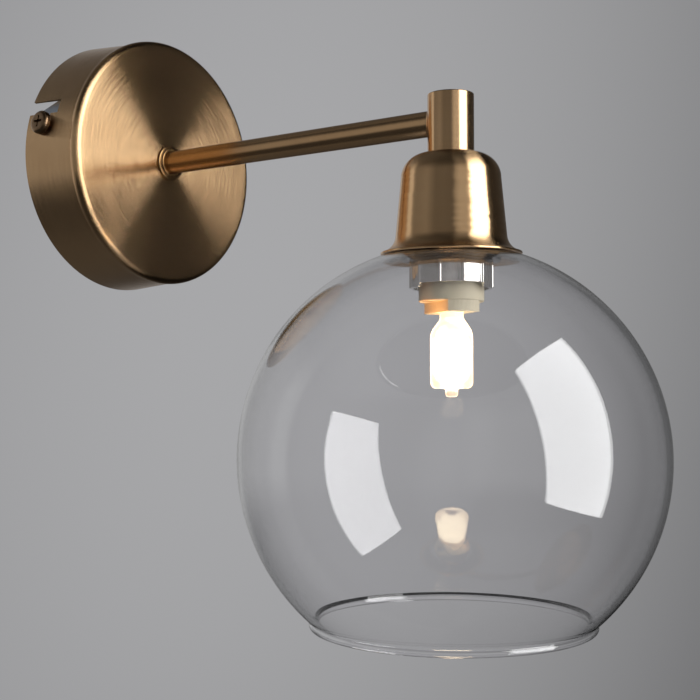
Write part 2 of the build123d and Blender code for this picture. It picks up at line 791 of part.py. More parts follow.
# Shade
def glass_globe():
    hole_r = globe_hole_d / 2
    neck_r = globe_neck_d / 2
    inner_neck_r = neck_r - glass_t
    level = lambda radius, r: math.sqrt(radius**2 - r**2)
    crease = globe_z - level(globe_r, neck_r)
    lip_centre = (neck_r + lip_out - lip_r, 0)
    lip_start = math.acos((neck_r - lip_centre[0]) / lip_r)
    lip_end = math.acos((inner_neck_r - lip_centre[0]) / lip_r)
    lip_centre = (lip_centre[0], crease - lip_r * math.sin(lip_start))
    start_deg = math.degrees(lip_start)
    end_deg = math.degrees(lip_end) - 360
    return post_at * turned([
        (hole_r, globe_z + level(globe_r, hole_r)),
        (globe_r, globe_z, "arc"),
        (neck_r, crease),
        arc_mid(lip_centre, lip_r, start_deg, end_deg),
        (inner_neck_r, lip_centre[1] + lip_r * math.sin(lip_end)),
        (inner_neck_r, globe_z - level(glass_inner_r, inner_neck_r)),
        (glass_inner_r, globe_z, "arc"),
        (hole_r, globe_z + level(glass_inner_r, hole_r)),
    ])


def shade_washer():
    return post_at * tube(shade_washer_d, shade_washer_hole_d, washer_top - shade_washer_t, washer_top)


def lock_ring():
    outer_d = 2 * (ring_bore_r + ring_wall)
    body = tube(outer_d, 2 * ring_bore_r, ring_bottom, ring_top)
    rib_at = ring_bore_r + ring_wall
    for i in range(ring_ribs):
        rib = block(
            rib_at - ring_wall / 2, rib_at + ring_rib_h,
            -ring_rib_w / 2, ring_rib_w / 2, ring_bottom, ring_top,
        )
        body += Rot(0, 0, ring_rib_at + 360 / ring_ribs * i) * rib
    gap_arc = 180 - ring_land_arc
    gap_face = Plane.XZ * Pos(rib_at, ring_bottom) * Rectangle(4 * ring_wall, 2 * ring_land_h)
    for middle in (ring_gap_at, ring_gap_at + 180):
        body -= Rot(0, 0, middle - gap_arc / 2) * revolve(gap_face, Axis.Z, gap_arc)
    return post_at * body


# Terminal block
def block_screw_places():
    """The two fixing screws stand between the poles."""
    x = block_x + block_l / 2
    return [(x, (a + b) / 2) for a, b in zip(block_z, block_z[1:])]


def terminal_screw_places():
    inset = block_l / 4
    return [(x, z) for z in block_z for x in (block_x + inset, block_x + block_l - inset)]


def terminal_block():
    top = plate_y + block_h
    z0 = block_mid_z - block_len_z / 2
    body = block(block_x, block_x + block_l, plate_y, top, z0, z0 + block_len_z)
    body = fillet(body.edges().filter_by(Axis.Y), 1.0)
    hollow = clamp_side / 2 + fit_gap
    lead_hole = Rot(0, 90, 0) * Cylinder(clamp_bore_d / 2, 2 * block_l)
    driver_hole = Rot(-90, 0, 0) * rod(terminal_screw_head_d + 2 * slot_gap, 0, 2 * block_h)
    for z in block_z:
        body -= block(
            block_x + clamp_inset - fit_gap, block_x + block_l - clamp_inset + fit_gap,
            pole_y - hollow, pole_y + hollow, z - hollow, z + hollow,
        )
        body -= Pos(block_x + block_l / 2, pole_y, z) * lead_hole
    for x, z in terminal_screw_places():
        body -= Pos(x, pole_y, z) * driver_hole
    for x, z in block_screw_places():
        at = Pos(x, plate_y, z) * Rot(-90, 0, 0)
        body -= at * rod(block_screw_d + 2 * fit_gap, -block_h, 2 * block_h)
        body -= at * rod(block_screw_head_d + slot_gap, block_h - block_screw_sunk, 2 * block_h)
        groove = Box(2 * block_groove_l, 2 * block_groove_h, block_groove_w)
        body -= Pos(block_x, top, z) * groove
        body -= Pos(block_x + block_l, top, z) * groove
    return body


def terminal_clamps():
    length = block_l - 2 * clamp_inset
    screw_hole = Rot(-90, 0, 0) * rod(terminal_screw_d + 2 * fit_gap, 0, block_h)
    clamps = []
    for z in block_z:
        clamp = Box(length, clamp_side, clamp_side)
        clamp -= Rot(0, 90, 0) * Cylinder(clamp_bore_d / 2, 2 * length)
        clamp = Pos(block_x + block_l / 2, pole_y, z) * clamp
        for x, screw_z in terminal_screw_places():
            if screw_z == z:
                clamp -= Pos(x, pole_y, z) * screw_hole
        clamps.append(clamp)
    return clamps


def terminal_screws():
    """Each screw's tip stands on the lead, or as deep in the empty end."""
    tip_y = pole_y + lead_d / 2 + fit_gap
    head_y = pole_y + clamp_side / 2 + fit_gap
    screw = pan_screw(terminal_screw_d, head_y - tip_y, terminal_screw_head_d, terminal_screw_head_h)
    return [Pos(x, head_y, z) * Rot(-90, 0, 0) * screw for x, z in terminal_screw_places()]


def block_screws():
    head_y = plate_y + block_h - block_screw_sunk
    length = head_y - canopy_inner_face_y - fit_gap
    screw = pan_screw(block_screw_d, length, block_screw_head_d, block_screw_head_h)
    return [Pos(x, head_y, z) * Rot(-90, 0, 0) * screw for x, z in block_screw_places()]


# Leads: points chosen along the real route, from the lampholder to the terminal block
def lamp_lead(side, pole_z):
    """side 1 runs over the other in the arm and comes down in front of it in the post."""
    turn = math.radians(holder_turn)
    pin = pin_pitch / 2
    x = -side * pin * math.cos(turn)
    y = post_y - side * pin * math.sin(turn)
    offset = side * lead_pitch / 2
    start_z = bridge_top + fit_gap
    return [
        (x, y, start_z),
        (x, y, start_z + crimp_l + 3.0),
        (0, post_y - offset, sleeve_disc_top - 2.6),
        (0, post_y - offset, offset),
        (0, loop_y, offset),
        (12.5, loop_y, offset + (pole_z - offset) * 0.7),
        (14.0, pole_y, pole_z),
        (block_x + lead_in_block, pole_y, pole_z),
    ]


def earth_lead():
    barrel_y = plate_y + lead_d / 2 + fit_gap + lug_barrel_wall
    return [
        (0, barrel_y, -lug_d / 2 - lug_t - lug_t),
        (0, barrel_y, block_z[2]),
        (14.0, pole_y, block_z[2]),
        (block_x + lead_in_block, pole_y, block_z[2]),
    ]


def lead(name, points, bends):
    """A lead of round section along its points, with a named radius for each bend."""
    path = FilletPolyline(*points, radius=bends)
    wire = Wire(path.edges())
    start = Vector(*points[0])
    heading = Vector(*points[1]) - start
    body = sweep(Plane(origin=start, z_dir=heading) * Circle(lead_d / 2), wire)
    ideal = math.pi * (lead_d / 2) ** 2 * wire.length
    print(name, "length", round(wire.length, 1), "mm, bend radii", [round(r, 1) for r in bends],
          "volume", round(body.volume, 1), "of", round(ideal, 1))
    return body


def bends_for(points):
    """Each bend is as large as its two runs allow."""
    bends = []
    for before, corner, after in zip(points, points[1:], points[2:]):
        run_in = Vector(*corner) - Vector(*before)
        run_out = Vector(*after) - Vector(*corner)
        half_turn = math.radians(run_in.get_angle(run_out)) / 2
        bends.append(0.45 * min(run_in.length, run_out.length) / math.tan(half_turn))
    return bends


def lamp_bends(points, post_bend):
    """The third corner, from the arm down into the post, has to fit inside the post."""
    bends = bends_for(points)
    bends[2] = post_bend
    return bends


def main():
    live = lamp_lead(1, block_z[0])
    neutral = lamp_lead(-1, block_z[1])
    earth = earth_lead()
    post_bend = post_chamber_d / 2 + turn_gap
    nodes = {
        "wall_bracket": wall_bracket(),
        "canopy_screws": canopy_screws(),
        "earth_screw": earth_screw(),
        "earth_washer": earth_washer(),
        "canopy": canopy(),
        "backing_plate": backing_plate(),
        "arm_nipple": arm_nipple(),
        "earth_terminal": earth_terminal(),
        "arm_lock_washer": arm_lock_washer(),
        "arm_nut": arm_nut(),
        "nipple_bush": nipple_bush(),
        "arm_collar": arm_collar(),
        "arm_tube": arm_tube(),
        "post": post(),
        "post_cap": post_cap(),
        "post_nipple": post_nipple(),
        "bell_cup": bell_cup(),
        "bell_washer": bell_washer(),
        "bell_nut": bell_nut(),
        "holder_sleeve": holder_sleeve(),
        "sleeve_grub_screw": sleeve_grub_screw(),
        "lampholder_body": lampholder_body(),
        "lampholder_screws": lampholder_screws(),
        "lampholder_contacts": lampholder_contacts(),
        "lock_ring": lock_ring(),
        "shade_washer": shade_washer(),
        "glass_globe": glass_globe(),
        "bulb_envelope": bulb_envelope(),
        "bulb_pins": bulb_pins(),
        "bulb_filament": bulb_filament(),
        "terminal_block": terminal_block(),
        "terminal_clamps": terminal_clamps(),
        "terminal_screws": terminal_screws(),
        "block_screws": block_screws(),
        "lead_live": lead("lead_live", live, lamp_bends(live, post_bend + lead_pitch)),
        "lead_neutral": lead("lead_neutral", neutral, lamp_bends(neutral, post_bend)),
        "lead_earth": lead("lead_earth", earth, bends_for(earth)),
    }
    os.makedirs("parts", exist_ok=True)
    for name, shape in nodes.items():
        solids = shape if isinstance(shape, list) else [shape]
        export_step(Compound(children=solids) if len(solids) > 1 else solids[0], f"parts/{name}.step")
    print(len(nodes), "nodes")


main()
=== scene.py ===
import json
from math import atan2, cos, hypot, pi, radians, sin, sqrt

import bmesh
import bpy
import numpy as np
from mathutils import Matrix, Vector


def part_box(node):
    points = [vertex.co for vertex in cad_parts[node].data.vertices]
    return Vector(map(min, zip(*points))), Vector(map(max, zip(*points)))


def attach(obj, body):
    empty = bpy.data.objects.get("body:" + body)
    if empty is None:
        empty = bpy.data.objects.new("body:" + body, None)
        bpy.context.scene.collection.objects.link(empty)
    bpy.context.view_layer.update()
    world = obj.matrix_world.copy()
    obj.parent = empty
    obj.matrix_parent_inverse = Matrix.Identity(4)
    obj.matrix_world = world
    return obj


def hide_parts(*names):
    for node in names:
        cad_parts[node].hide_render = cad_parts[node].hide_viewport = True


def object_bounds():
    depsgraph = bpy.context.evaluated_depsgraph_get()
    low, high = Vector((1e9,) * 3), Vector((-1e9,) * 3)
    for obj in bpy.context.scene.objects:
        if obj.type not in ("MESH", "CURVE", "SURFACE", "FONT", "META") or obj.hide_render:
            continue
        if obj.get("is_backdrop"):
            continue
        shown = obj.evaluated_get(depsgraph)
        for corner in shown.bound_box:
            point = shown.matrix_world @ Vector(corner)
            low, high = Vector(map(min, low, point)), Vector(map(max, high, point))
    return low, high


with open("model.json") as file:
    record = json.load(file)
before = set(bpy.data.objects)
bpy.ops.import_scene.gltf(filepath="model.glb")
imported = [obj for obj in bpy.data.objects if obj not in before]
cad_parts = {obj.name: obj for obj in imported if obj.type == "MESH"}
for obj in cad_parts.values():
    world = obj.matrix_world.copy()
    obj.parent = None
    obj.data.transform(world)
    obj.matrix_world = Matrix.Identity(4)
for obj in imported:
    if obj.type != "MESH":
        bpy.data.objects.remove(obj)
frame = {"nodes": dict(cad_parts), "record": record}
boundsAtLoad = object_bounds()
bodyOfNode = {node: body for body, nodes in frame["record"]["behaviour"]["bodies"].items() for node in nodes}
print("frame loaded with", len(frame["nodes"]), "nodes")

mm = 0.001
scene = bpy.context.scene
scene.view_settings.view_transform = "Standard"


# the directions about which pieces are turned
wallSet = {"right": (1, 0, 0), "up": (0, 0, 1), "out": (0, -1, 0)}  # turned about the line square to the wall
postSet = {"right": (1, 0, 0), "up": (0, 1, 0), "out": (0, 0, 1)}  # turned about a plumb line


def onAxis(radius, angle, height, centre, axes):
    # a grid of points: centre + radius * (cosine of the angle * right + its sine * up) + height * out
    radius, angle, height = np.broadcast_arrays(radius, angle, height)
    right, up, out = (np.array(axes[key], float) for key in ("right", "up", "out"))
    around = np.cos(angle)[..., None] * right + np.sin(angle)[..., None] * up
    return np.array(centre, float) + radius[..., None] * around + height[..., None] * out


def arc(centre, radius, start, end, steps):
    # centre + radius * (cosine, sine) in the outline's plane, angles in degrees from the radius direction
    t = np.radians(np.linspace(start, end, steps + 1))
    return np.stack([centre[0] + radius * np.cos(t), centre[1] + radius * np.sin(t)], 1)


def rounded(corners, steps=6):
    # An outline from (r, h, fillet) corners. Each fillet is the arc that touches both sides: its centre lies on the
    # corner's bisector, at the fillet's radius over the sine of half the corner's angle.
    corners = np.array(corners, float)
    parts = []
    for before, (r, h, fillet), after in zip(np.roll(corners, 1, 0), corners, np.roll(corners, -1, 0)):
        if fillet == 0:
            parts.append(np.array([[r, h]]))
            continue
        corner = np.array([r, h])
        a = (before[:2] - corner) / np.linalg.norm(before[:2] - corner)
        b = (after[:2] - corner) / np.linalg.norm(after[:2] - corner)
        half = np.arccos(np.clip(a @ b, -1, 1)) / 2
        middle = corner + (a + b) / np.linalg.norm(a + b) * fillet / np.sin(half)
        start = corner + a * fillet / np.tan(half) - middle
        end = corner + b * fillet / np.tan(half) - middle
        turn = atan2(start[0] * end[1] - start[1] * end[0], start @ end)
        t = atan2(start[1], start[0]) + np.linspace(0, turn, steps + 1)
        parts.append(middle + fillet * np.stack([np.cos(t), np.sin(t)], 1))
    return np.vstack(parts)


def quads(rows, columns, closedRows, closedColumns):
    # faces of a grid whose point (i, j) has the index i * columns + j
    i = np.arange(rows if closedRows else rows - 1)
    j = np.arange(columns if closedColumns else columns - 1)
    i, j = np.meshgrid(i, j, indexing="ij")
    nextI, nextJ = (i + 1) % rows, (j + 1) % columns
    faces = np.stack([i * columns + j, nextI * columns + j, nextI * columns + nextJ, i * columns + nextJ], -1)
    return faces.reshape(-1, 4)


def placed(name, data):
    # a new object in the scene
    made = bpy.data.objects.new(name, data)
    scene.collection.objects.link(made)
    return made


def meshPiece(name, points, faces, body, nodes, slot, sharp=35):
    # puts a grid into a mesh, merges its seams and poles, and lets the piece ride on its body
    mesh = bpy.data.meshes.new(name)
    mesh.from_pydata(np.asarray(points).reshape(-1, 3).tolist(), [], np.asarray(faces).tolist())
    work = bmesh.new()
    work.from_mesh(mesh)
    bmesh.ops.remove_doubles(work, verts=work.verts, dist=1e-7)
    bmesh.ops.dissolve_degenerate(work, edges=work.edges, dist=1e-8)
    bmesh.ops.recalc_face_normals(work, faces=work.faces)
    work.to_mesh(mesh)
    work.free()
    mesh.shade_smooth()
    mesh.set_sharp_from_angle(angle=radians(sharp))
    return settle(placed(name, mesh), body, nodes, slot)


def settle(piece, body, nodes, slot):
    # hides the CAD nodes that the piece stands for and lets its body carry it
    if nodes:
        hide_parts(*nodes)
    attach(piece, body)
    return piece


def turned(name, outline, centre, axes, body, nodes, slot, steps, closed=True):
    # every (r, h) of an outline turned once round the axis; one that isn't closed runs from pole to pole
    t = np.linspace(0, 2 * pi, steps, endpoint=False)[:, None]
    points = onAxis(outline[None, :, 0], t, outline[None, :, 1], centre, axes)
    faces = quads(steps, len(outline), True, closed)
    return meshPiece(name, points, faces, body, nodes, slot)


def bevelled(piece, width, angle=50):
    # a small round on every edge that turns by more than the angle
    bevel = piece.modifiers.new("edges", "BEVEL")
    bevel.width = width
    bevel.segments = 2
    bevel.limit_method = "ANGLE"
    bevel.angle_limit = radians(angle)
    bevel.harden_normals = True
    return piece


def merged(node, width, slot):
    # a copy of a CAD node with its loose triangles joined, so that it shades smoothly and can be bevelled
    source = frame["nodes"][node]
    mesh = bpy.data.meshes.new(node + "Piece")
    work = bmesh.new()
    work.from_mesh(source.data)
    bmesh.ops.remove_doubles(work, verts=work.verts, dist=2e-6)
    bmesh.ops.dissolve_limit(work, angle_limit=radians(0.5), verts=work.verts, edges=work.edges)
    work.to_mesh(mesh)
    work.free()
    mesh.shade_smooth()
    mesh.set_sharp_from_angle(angle=radians(30))
    piece = placed(node + "Piece", mesh)
    if width:
        bevelled(piece, width)
    return settle(piece, bodyOfNode[node], (node,), slot)


def paintPiece(piece, material):
    piece.data.materials.clear()
    piece.data.materials.append(material)


def size(node):
    # the low and the high corner of a CAD node's box
    low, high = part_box(node)
    return np.array(low), np.array(high)


# places of the pieces, from the frame
canopyLow, canopyHigh = size("canopy")
postLow, postHigh = size("post")
bellLow, bellHigh = size("bell_cup")
armLow, armHigh = size("arm_tube")
globeLow, globeHigh = size("glass_globe")
ringLow, ringHigh = size("lock_ring")
washerLow, washerHigh = size("shade_washer")
bulbLow, bulbHigh = size("bulb_envelope")
capLow, capHigh = size("post_cap")

wallCentre = np.zeros(3)
postCentre = np.array([0.0, (postLow[1] + postHigh[1]) / 2, 0.0])
canopyRadius = canopyHigh[0]
canopyDepth = -canopyLow[1]
postRadius = (postHigh[0] - postLow[0]) / 2
armRadius = (armHigh[0] - armLow[0]) / 2
globeRadius = (globeHigh[0] - globeLow[0]) / 2

camera = {
    "place": (-0.3659, -0.3942, -0.0919),
    "turn": -53.42,  # degrees about the plumb line, from looking straight at the wall
    "rise": 1.50,  # degrees that it looks up
    "roll": -0.10,
    "lens": 63.0,
    "sensor": 36.0,
    "clip": (0.01, 50.0),
}


def makeCamera(look):
    # returns its right and back directions, level with the floor
    turn, rise, roll = radians(look["turn"]), -radians(look["rise"]), radians(look["roll"])
    back = Vector((sin(turn) * cos(rise), -cos(turn) * cos(rise), sin(rise)))
    right = Vector((cos(turn), sin(turn), 0))
    up = back.cross(right)
    rolledRight = right * cos(roll) + up * sin(roll)
    rolledUp = up * cos(roll) - right * sin(roll)
    data = bpy.data.cameras.new("camera")
    data.lens = look["lens"]
    data.sensor_width = look["sensor"]
    data.clip_start, data.clip_end = look["clip"]
    eye = placed("camera", data)
    basis = Matrix((rolledRight, rolledUp, back)).transposed()
    eye.matrix_world = Matrix.Translation(look["place"]) @ basis.to_4x4()
    scene.camera = eye
    return right, back


viewRight, viewBack = makeCamera(camera)


class Wire:
    # a socket of one node tree; + - * on it add Math nodes to that tree
    def __init__(self, paint, socket):
        self.paint = paint
        self.socket = socket

    def __add__(self, other):
        return self.paint.maths("ADD", self, other)

    def __sub__(self, other):
        return self.paint.maths("SUBTRACT", self, other)

    def __mul__(self, other):
        return self.paint.maths("MULTIPLY", self, other)

    def __rmul__(self, other):
        return self.paint.maths("MULTIPLY", other, self)

    def __radd__(self, other):
        return self.paint.maths("ADD", other, self)

    def __rsub__(self, other):
        return self.paint.maths("SUBTRACT", other, self)


class Paint:
    # one node tree, for a material or for the world
    def __init__(self, owner):
        owner.use_nodes = True
        self.tree = owner.node_tree
        self.tree.nodes.clear()
        self.owner = owner

    def node(self, kind, settings=None, sockets=None, out=0):
        made = self.tree.nodes.new(kind)
        for key, value in (settings or {}).items():
            if key == "stops":
                fillRamp(made.color_ramp, value)
            else:
                setattr(made, key, value)
        for key, value in (sockets or {}).items():
            if isinstance(value, Wire):
                self.tree.links.new(value.socket, made.inputs[key])
            else:
                made.inputs[key].default_value = value
        return Wire(self, made.outputs[out]) if made.outputs else made

    def maths(self, operation, a, b=0.0, clamp=False):
        return self.node("ShaderNodeMath", {"operation": operation, "use_clamp": clamp}, {0: a, 1: b})

    def vector(self, operation, a, b=(0, 0, 0), out=0):
        return self.node("ShaderNodeVectorMath", {"operation": operation}, {0: a, 1: b}, out)

    def scaled(self, a, factor):
        return self.node("ShaderNodeVectorMath", {"operation": "SCALE"}, {0: a, "Scale": factor})

    def mix(self, factor, a, b):
        return self.node("ShaderNodeMix", {"data_type": "RGBA"}, {0: factor, 6: a, 7: b}, 2)

    def ramp(self, value, stops):
        return self.node("ShaderNodeValToRGB", {"stops": stops}, {0: value})

    def noise(self, vector, scale, detail):
        return self.node("ShaderNodeTexNoise", None, {"Vector": vector, "Scale": scale, "Detail": detail})

    def place(self):
        return self.node("ShaderNodeTexCoord", None, None, "Object")

    def blend(self, factor, first, second):
        return self.node("ShaderNodeMixShader", None, {0: factor, 1: first, 2: second})

    def path(self, name):
        # one of Light Path's values
        return self.node("ShaderNodeLightPath", None, None, name)

    def step(self, value, start, end, atStart, atEnd):
        # passes smoothly from one level to another while the value goes from start to end
        settings = {"interpolation_type": "SMOOTHSTEP"}
        return self.node("ShaderNodeMapRange", settings, {0: value, 1: start, 2: end, 3: atStart, 4: atEnd})

    def surface(self, sockets):
        self.finish(self.node("ShaderNodeBsdfPrincipled", None, sockets))

    def finish(self, shader, **more):
        self.node("ShaderNodeOutputMaterial", None, {"Surface": shader, **more})


def fillRamp(ramp, stops):
    while len(ramp.elements) < len(stops):
        ramp.elements.new(0.5)
    for element, (position, shade) in zip(ramp.elements, stops):
        element.position = position
        element.color = (*shade, 1)


def newPaint(name):
    return Paint(bpy.data.materials.new(name))


def colour(r, g, b):
    return (r, g, b, 1)


# Finishes. Streaks, grooves, patches, ripples and frost are frequencies of noises, per metre.
brass = {
    "light": colour(0.82, 0.545, 0.30),
    "dark": colour(0.62, 0.385, 0.195),
    "roughSwing": 0.08,
    "streaks": 900,  # across the brushed lines
    "streakTurn": 1.6,  # along them: the radius of the circle in the noise that one way round follows
    "streakTone": 0.9,
    "patches": 38.0,
    "patchTone": 0.8,
}
pressed = {
    **brass,
    "rough": 0.15,
    "roughSwing": 0.03,
    "fan": 0.38,  # the widest lean of a lobe
    "fanWidth": 0.18,
    "lobes": 9,
    "grooves": 6500,
    "grooveTurn": 3.0,
    "jitter": 0.25,
    "streaks": 1500,
    "streakLean": 0.08,
    "streakTone": 0.45,
    "wander": 0.09,
}
spun = {**brass, "rough": 0.25, "stretch": 1.0, "streakLean": 0.03, "wander": 0.09}
drawn = {
    **brass,
    "rough": 0.17,
    "roughSwing": 0.03,
    "stretch": 0.0,
    "streakLean": 0.01,
    "streakTone": 0.2,
    "wander": 0.02,
}
drawnTube = {**drawn, "rough": 0.21, "light": colour(0.84, 0.54, 0.29)}
# the post's drawn brass with both colours darkened: painted shade
drawnBarPaintedShade = {**drawn, "light": colour(0.68, 0.45, 0.25), "dark": colour(0.50, 0.31, 0.16)}
# the collar's brass: rougher, with both colours darkened as painted shade
rougherPaintedShade = {**drawn, "rough": 0.24, "light": colour(0.46, 0.28, 0.13), "dark": colour(0.34, 0.20, 0.09)}


def brushedParts(name, centre, axes, look):
    # Lines run round the axis through the centre. Noise on (radius + height) along the axis is fine across the lines
    # and long along them. Returns the tree, its noises and sockets, and a function that leans the normal across the
    # lines by an angle and along them by a little of the streak.
    paint = newPaint(name)
    axis = Vector(axes["out"])
    offset = paint.vector("SUBTRACT", paint.place(), tuple(centre))
    height = paint.vector("DOT_PRODUCT", offset, tuple(axis), "Value")
    flat = paint.vector("SUBTRACT", offset, paint.scaled(tuple(axis), height))
    radius = paint.vector("LENGTH", flat, out="Value")
    around = paint.vector("NORMALIZE", paint.vector("CROSS_PRODUCT", tuple(axis), flat))
    objectNormal = paint.node("ShaderNodeTexCoord", None, None, "Normal")
    across = paint.vector("CROSS_PRODUCT", objectNormal, around)

    def lines(frequency, turnScale, detail):
        along = paint.scaled(around, turnScale)
        step = paint.scaled(tuple(axis), (radius + height) * frequency)
        return paint.noise(paint.vector("ADD", along, step), 1.0, detail)

    def lean(angle):
        shift = paint.vector("ADD", paint.scaled(across, angle), wander)
        tilted = paint.vector("NORMALIZE", paint.vector("ADD", objectNormal, shift))
        return paint.node(
            "ShaderNodeVectorTransform",
            {"vector_type": "NORMAL", "convert_from": "OBJECT", "convert_to": "WORLD"},
            {0: tilted},
        )

    streak = lines(look["streaks"], look["streakTurn"], 3.0)
    wander = paint.scaled(around, (streak - 0.5) * look["wander"])
    patch = (paint.noise(paint.place(), look["patches"], 2.0) - 0.5) * look["patchTone"] + 0.5
    tone = paint.maths("ADD", (streak - 0.5) * look["streakTone"], patch, clamp=True)
    sockets = {
        "Base Color": paint.mix(tone, look["dark"], look["light"]),
        "Metallic": 1.0,
        "Roughness": (streak - 0.5) * look["roughSwing"] + look["rough"],
    }
    return paint, lines, streak, sockets, lean


def brushedFan(name, centre, axes, look):
    # Wide brushed highlights: equal shaders whose normals lean across the lines by fixed angles, mixed by weights
    # that fall off as a bell curve.
    paint, lines, streak, sockets, lean = brushedParts(name, centre, axes, look)
    groove = lines(look["grooves"], look["grooveTurn"], 1.0)
    jitter = (groove - 0.5) * look["jitter"] + (streak - 0.5) * look["streakLean"]
    whole = None
    total = 0.0
    for angle in np.linspace(-look["fan"], look["fan"], look["lobes"]):
        weight = np.exp(-0.5 * (angle / look["fanWidth"]) ** 2)
        total += weight
        lobe = paint.node("ShaderNodeBsdfPrincipled", None, {**sockets, "Normal": lean(jitter + float(angle))})
        if whole is None:
            whole = lobe
        else:
            whole = paint.blend(float(weight / total), whole, lobe)
    paint.finish(whole)
    return paint.owner


def brushedPlain(name, centre, axes, look):
    # Narrower highlights: one shader, stretched along the axis where the lines run round a plumb line
    paint, _, streak, sockets, lean = brushedParts(name, centre, axes, look)
    sockets["Anisotropic"] = look["stretch"]
    sockets["Anisotropic Rotation"] = 0.25  # a quarter turn: highlights stretch upright
    sockets["Normal"] = lean((streak - 0.5) * look["streakLean"])
    paint.surface(sockets)
    return paint.owner


def plainMetal(name, light, dark, rough, scale=900, roughSwing=0.12):
    # plated or machined metal: two tones in a fine cloud, with roughness that follows it
    paint = newPaint(name)
    cloud = paint.noise(paint.place(), scale, 3.0)
    paint.surface({
        "Base Color": paint.mix(cloud, dark, light),
        "Metallic": 1.0,
        "Roughness": (cloud - 0.5) * roughSwing + rough,
    })
    return paint.owner


def plainMatt(name, light, dark, rough, scale=400, roughSwing=0.1, bump=0.15):
    # moulded plastic or fired ceramic, its skin very slightly uneven
    paint = newPaint(name)
    cloud = paint.noise(paint.place(), scale, 4.0)
    paint.surface({
        "Base Color": paint.mix(cloud, dark, light),
        "Roughness": (cloud - 0.5) * roughSwing + rough,
        "Normal": paint.node("ShaderNodeBump", None, {"Strength": bump, "Distance": 0.1 * mm, "Height": cloud}),
    })
    return paint.owner


def clearRubber(name, tint, rough, ior):
    paint = newPaint(name)
    paint.surface({"Base Color": tint, "Roughness": rough, "IOR": ior, "Transmission Weight": 1.0})
    return paint.owner


glassLook = {
    "tint": colour(0.99, 0.985, 0.993),
    "ior": 1.59,
    "soaks": colour(0.78, 0.93, 0.87),
    "density": 9.0,
    "ripples": 22.0,
    "rippleStrength": 0.06,
    "rippleDepth": 2 * mm,
    "shadow": colour(0.93, 0.95, 0.94),
}


def clearGlass(name, look):
    # blown glass; light for shadows goes straight through it
    paint = newPaint(name)
    ripple = paint.noise(paint.place(), look["ripples"], 1.0)
    bumpSockets = {"Strength": look["rippleStrength"], "Distance": look["rippleDepth"], "Height": ripple}
    body = paint.node("ShaderNodeBsdfPrincipled", None, {
        "Base Color": look["tint"],
        "Roughness": 0.0,
        "IOR": look["ior"],
        "Transmission Weight": 1.0,
        "Normal": paint.node("ShaderNodeBump", None, bumpSockets),
    })
    through = paint.node("ShaderNodeBsdfTransparent", None, {"Color": look["shadow"]})
    depth = paint.node("ShaderNodeVolumeAbsorption", None, {"Color": look["soaks"], "Density": look["density"]})
    paint.finish(paint.blend(paint.path("Is Shadow Ray"), body, through), Volume=depth)
    return paint.owner


bulbLook = {
    "tint": colour(1.0, 0.96, 0.90),
    "ior": 1.25,
    "rough": 0.38,
    "roughSwing": 0.2,
    "frost": 1500,
    "strength": 0.58,
    "glow": [  # from the tip at 0 to the pinch at 1
        (0.0, (0.80, 0.40, 0.24)),
        (0.12, (1.10, 0.76, 0.44)),
        (0.55, (1.15, 0.80, 0.48)),
        (0.76, (1.25, 0.98, 0.62)),
        (0.90, (1.30, 0.85, 0.40)),
        (1.0, (0.6, 0.3, 0.1)),
    ],
    "coreTint": colour(0.9, 0.8, 0.6),
    "coreGlow": colour(1.0, 0.86, 0.62),
    "coreStrength": 6.3,
}


def litCore(name, look):
    # the glow that shows through the frosted glass
    paint = newPaint(name)
    paint.surface({
        "Base Color": look["coreTint"],
        "Roughness": 0.5,
        "Emission Color": look["coreGlow"],
        "Emission Strength": look["coreStrength"],
    })
    return paint.owner


def litGlass(name, look, top, bottom):
    # frosted capsule that glows itself, warmer towards the neck and the tip
    paint = newPaint(name)
    height = paint.node("ShaderNodeSeparateXYZ", None, {0: paint.place()}, "Z")
    run = paint.node("ShaderNodeMapRange", None, {0: height, 1: bottom, 2: top, 3: 0.0, 4: 1.0})
    warmth = paint.ramp(run, look["glow"])
    frost = paint.noise(paint.place(), look["frost"], 2.0)
    paint.surface({
        "Base Color": look["tint"],
        "Roughness": (frost - 0.5) * look["roughSwing"] + look["rough"],
        "IOR": look["ior"],
        "Transmission Weight": 1.0,
        "Emission Color": warmth,
        "Emission Strength": look["strength"],
    })
    return paint.owner


def stripedSleeve(name, wave, level):
    # green wire with yellow stripes across it, where a sine along Y, wave radians per metre, is above the level
    paint = newPaint(name)
    along = paint.node("ShaderNodeSeparateXYZ", None, {0: paint.place()}, "Y")
    stripe = paint.maths("GREATER_THAN", paint.maths("SINE", along * wave), level)
    paint.surface({
        "Base Color": paint.mix(stripe, colour(0.04, 0.26, 0.05), colour(0.80, 0.62, 0.04)),
        "Roughness": 0.38,
    })
    return paint.owner


brightBrass = plainMetal("brightBrass", colour(0.78, 0.52, 0.26), colour(0.62, 0.40, 0.19), 0.22)
screwBrass = plainMetal("screwBrass", colour(0.33, 0.215, 0.125), colour(0.20, 0.125, 0.07), 0.30)
zinc = plainMetal("zinc", colour(0.42, 0.46, 0.52), colour(0.30, 0.33, 0.38), 0.34, 500)
nickel = plainMetal("nickel", colour(0.66, 0.63, 0.58), colour(0.52, 0.50, 0.46), 0.25)
chrome = plainMetal("chrome", colour(0.86, 0.83, 0.79), colour(0.72, 0.68, 0.63), 0.10, 300)
ceramic = plainMatt("creamCeramic", colour(0.66, 0.58, 0.44), colour(0.60, 0.52, 0.38), 0.42)
blockPlastic = plainMatt("blockPlastic", colour(0.78, 0.75, 0.68), colour(0.72, 0.69, 0.62), 0.45)
clearSilicone = clearRubber("clearSilicone", colour(0.80, 0.80, 0.79), 0.12, 1.41)
brownSleeve = plainMatt("brownSleeve", colour(0.16, 0.07, 0.03), colour(0.12, 0.05, 0.02), 0.35)
blueSleeve = plainMatt("blueSleeve", colour(0.02, 0.09, 0.36), colour(0.02, 0.07, 0.28), 0.35)
greenYellowSleeve = stripedSleeve("stripedSleeve", 3300.0, 0.1)
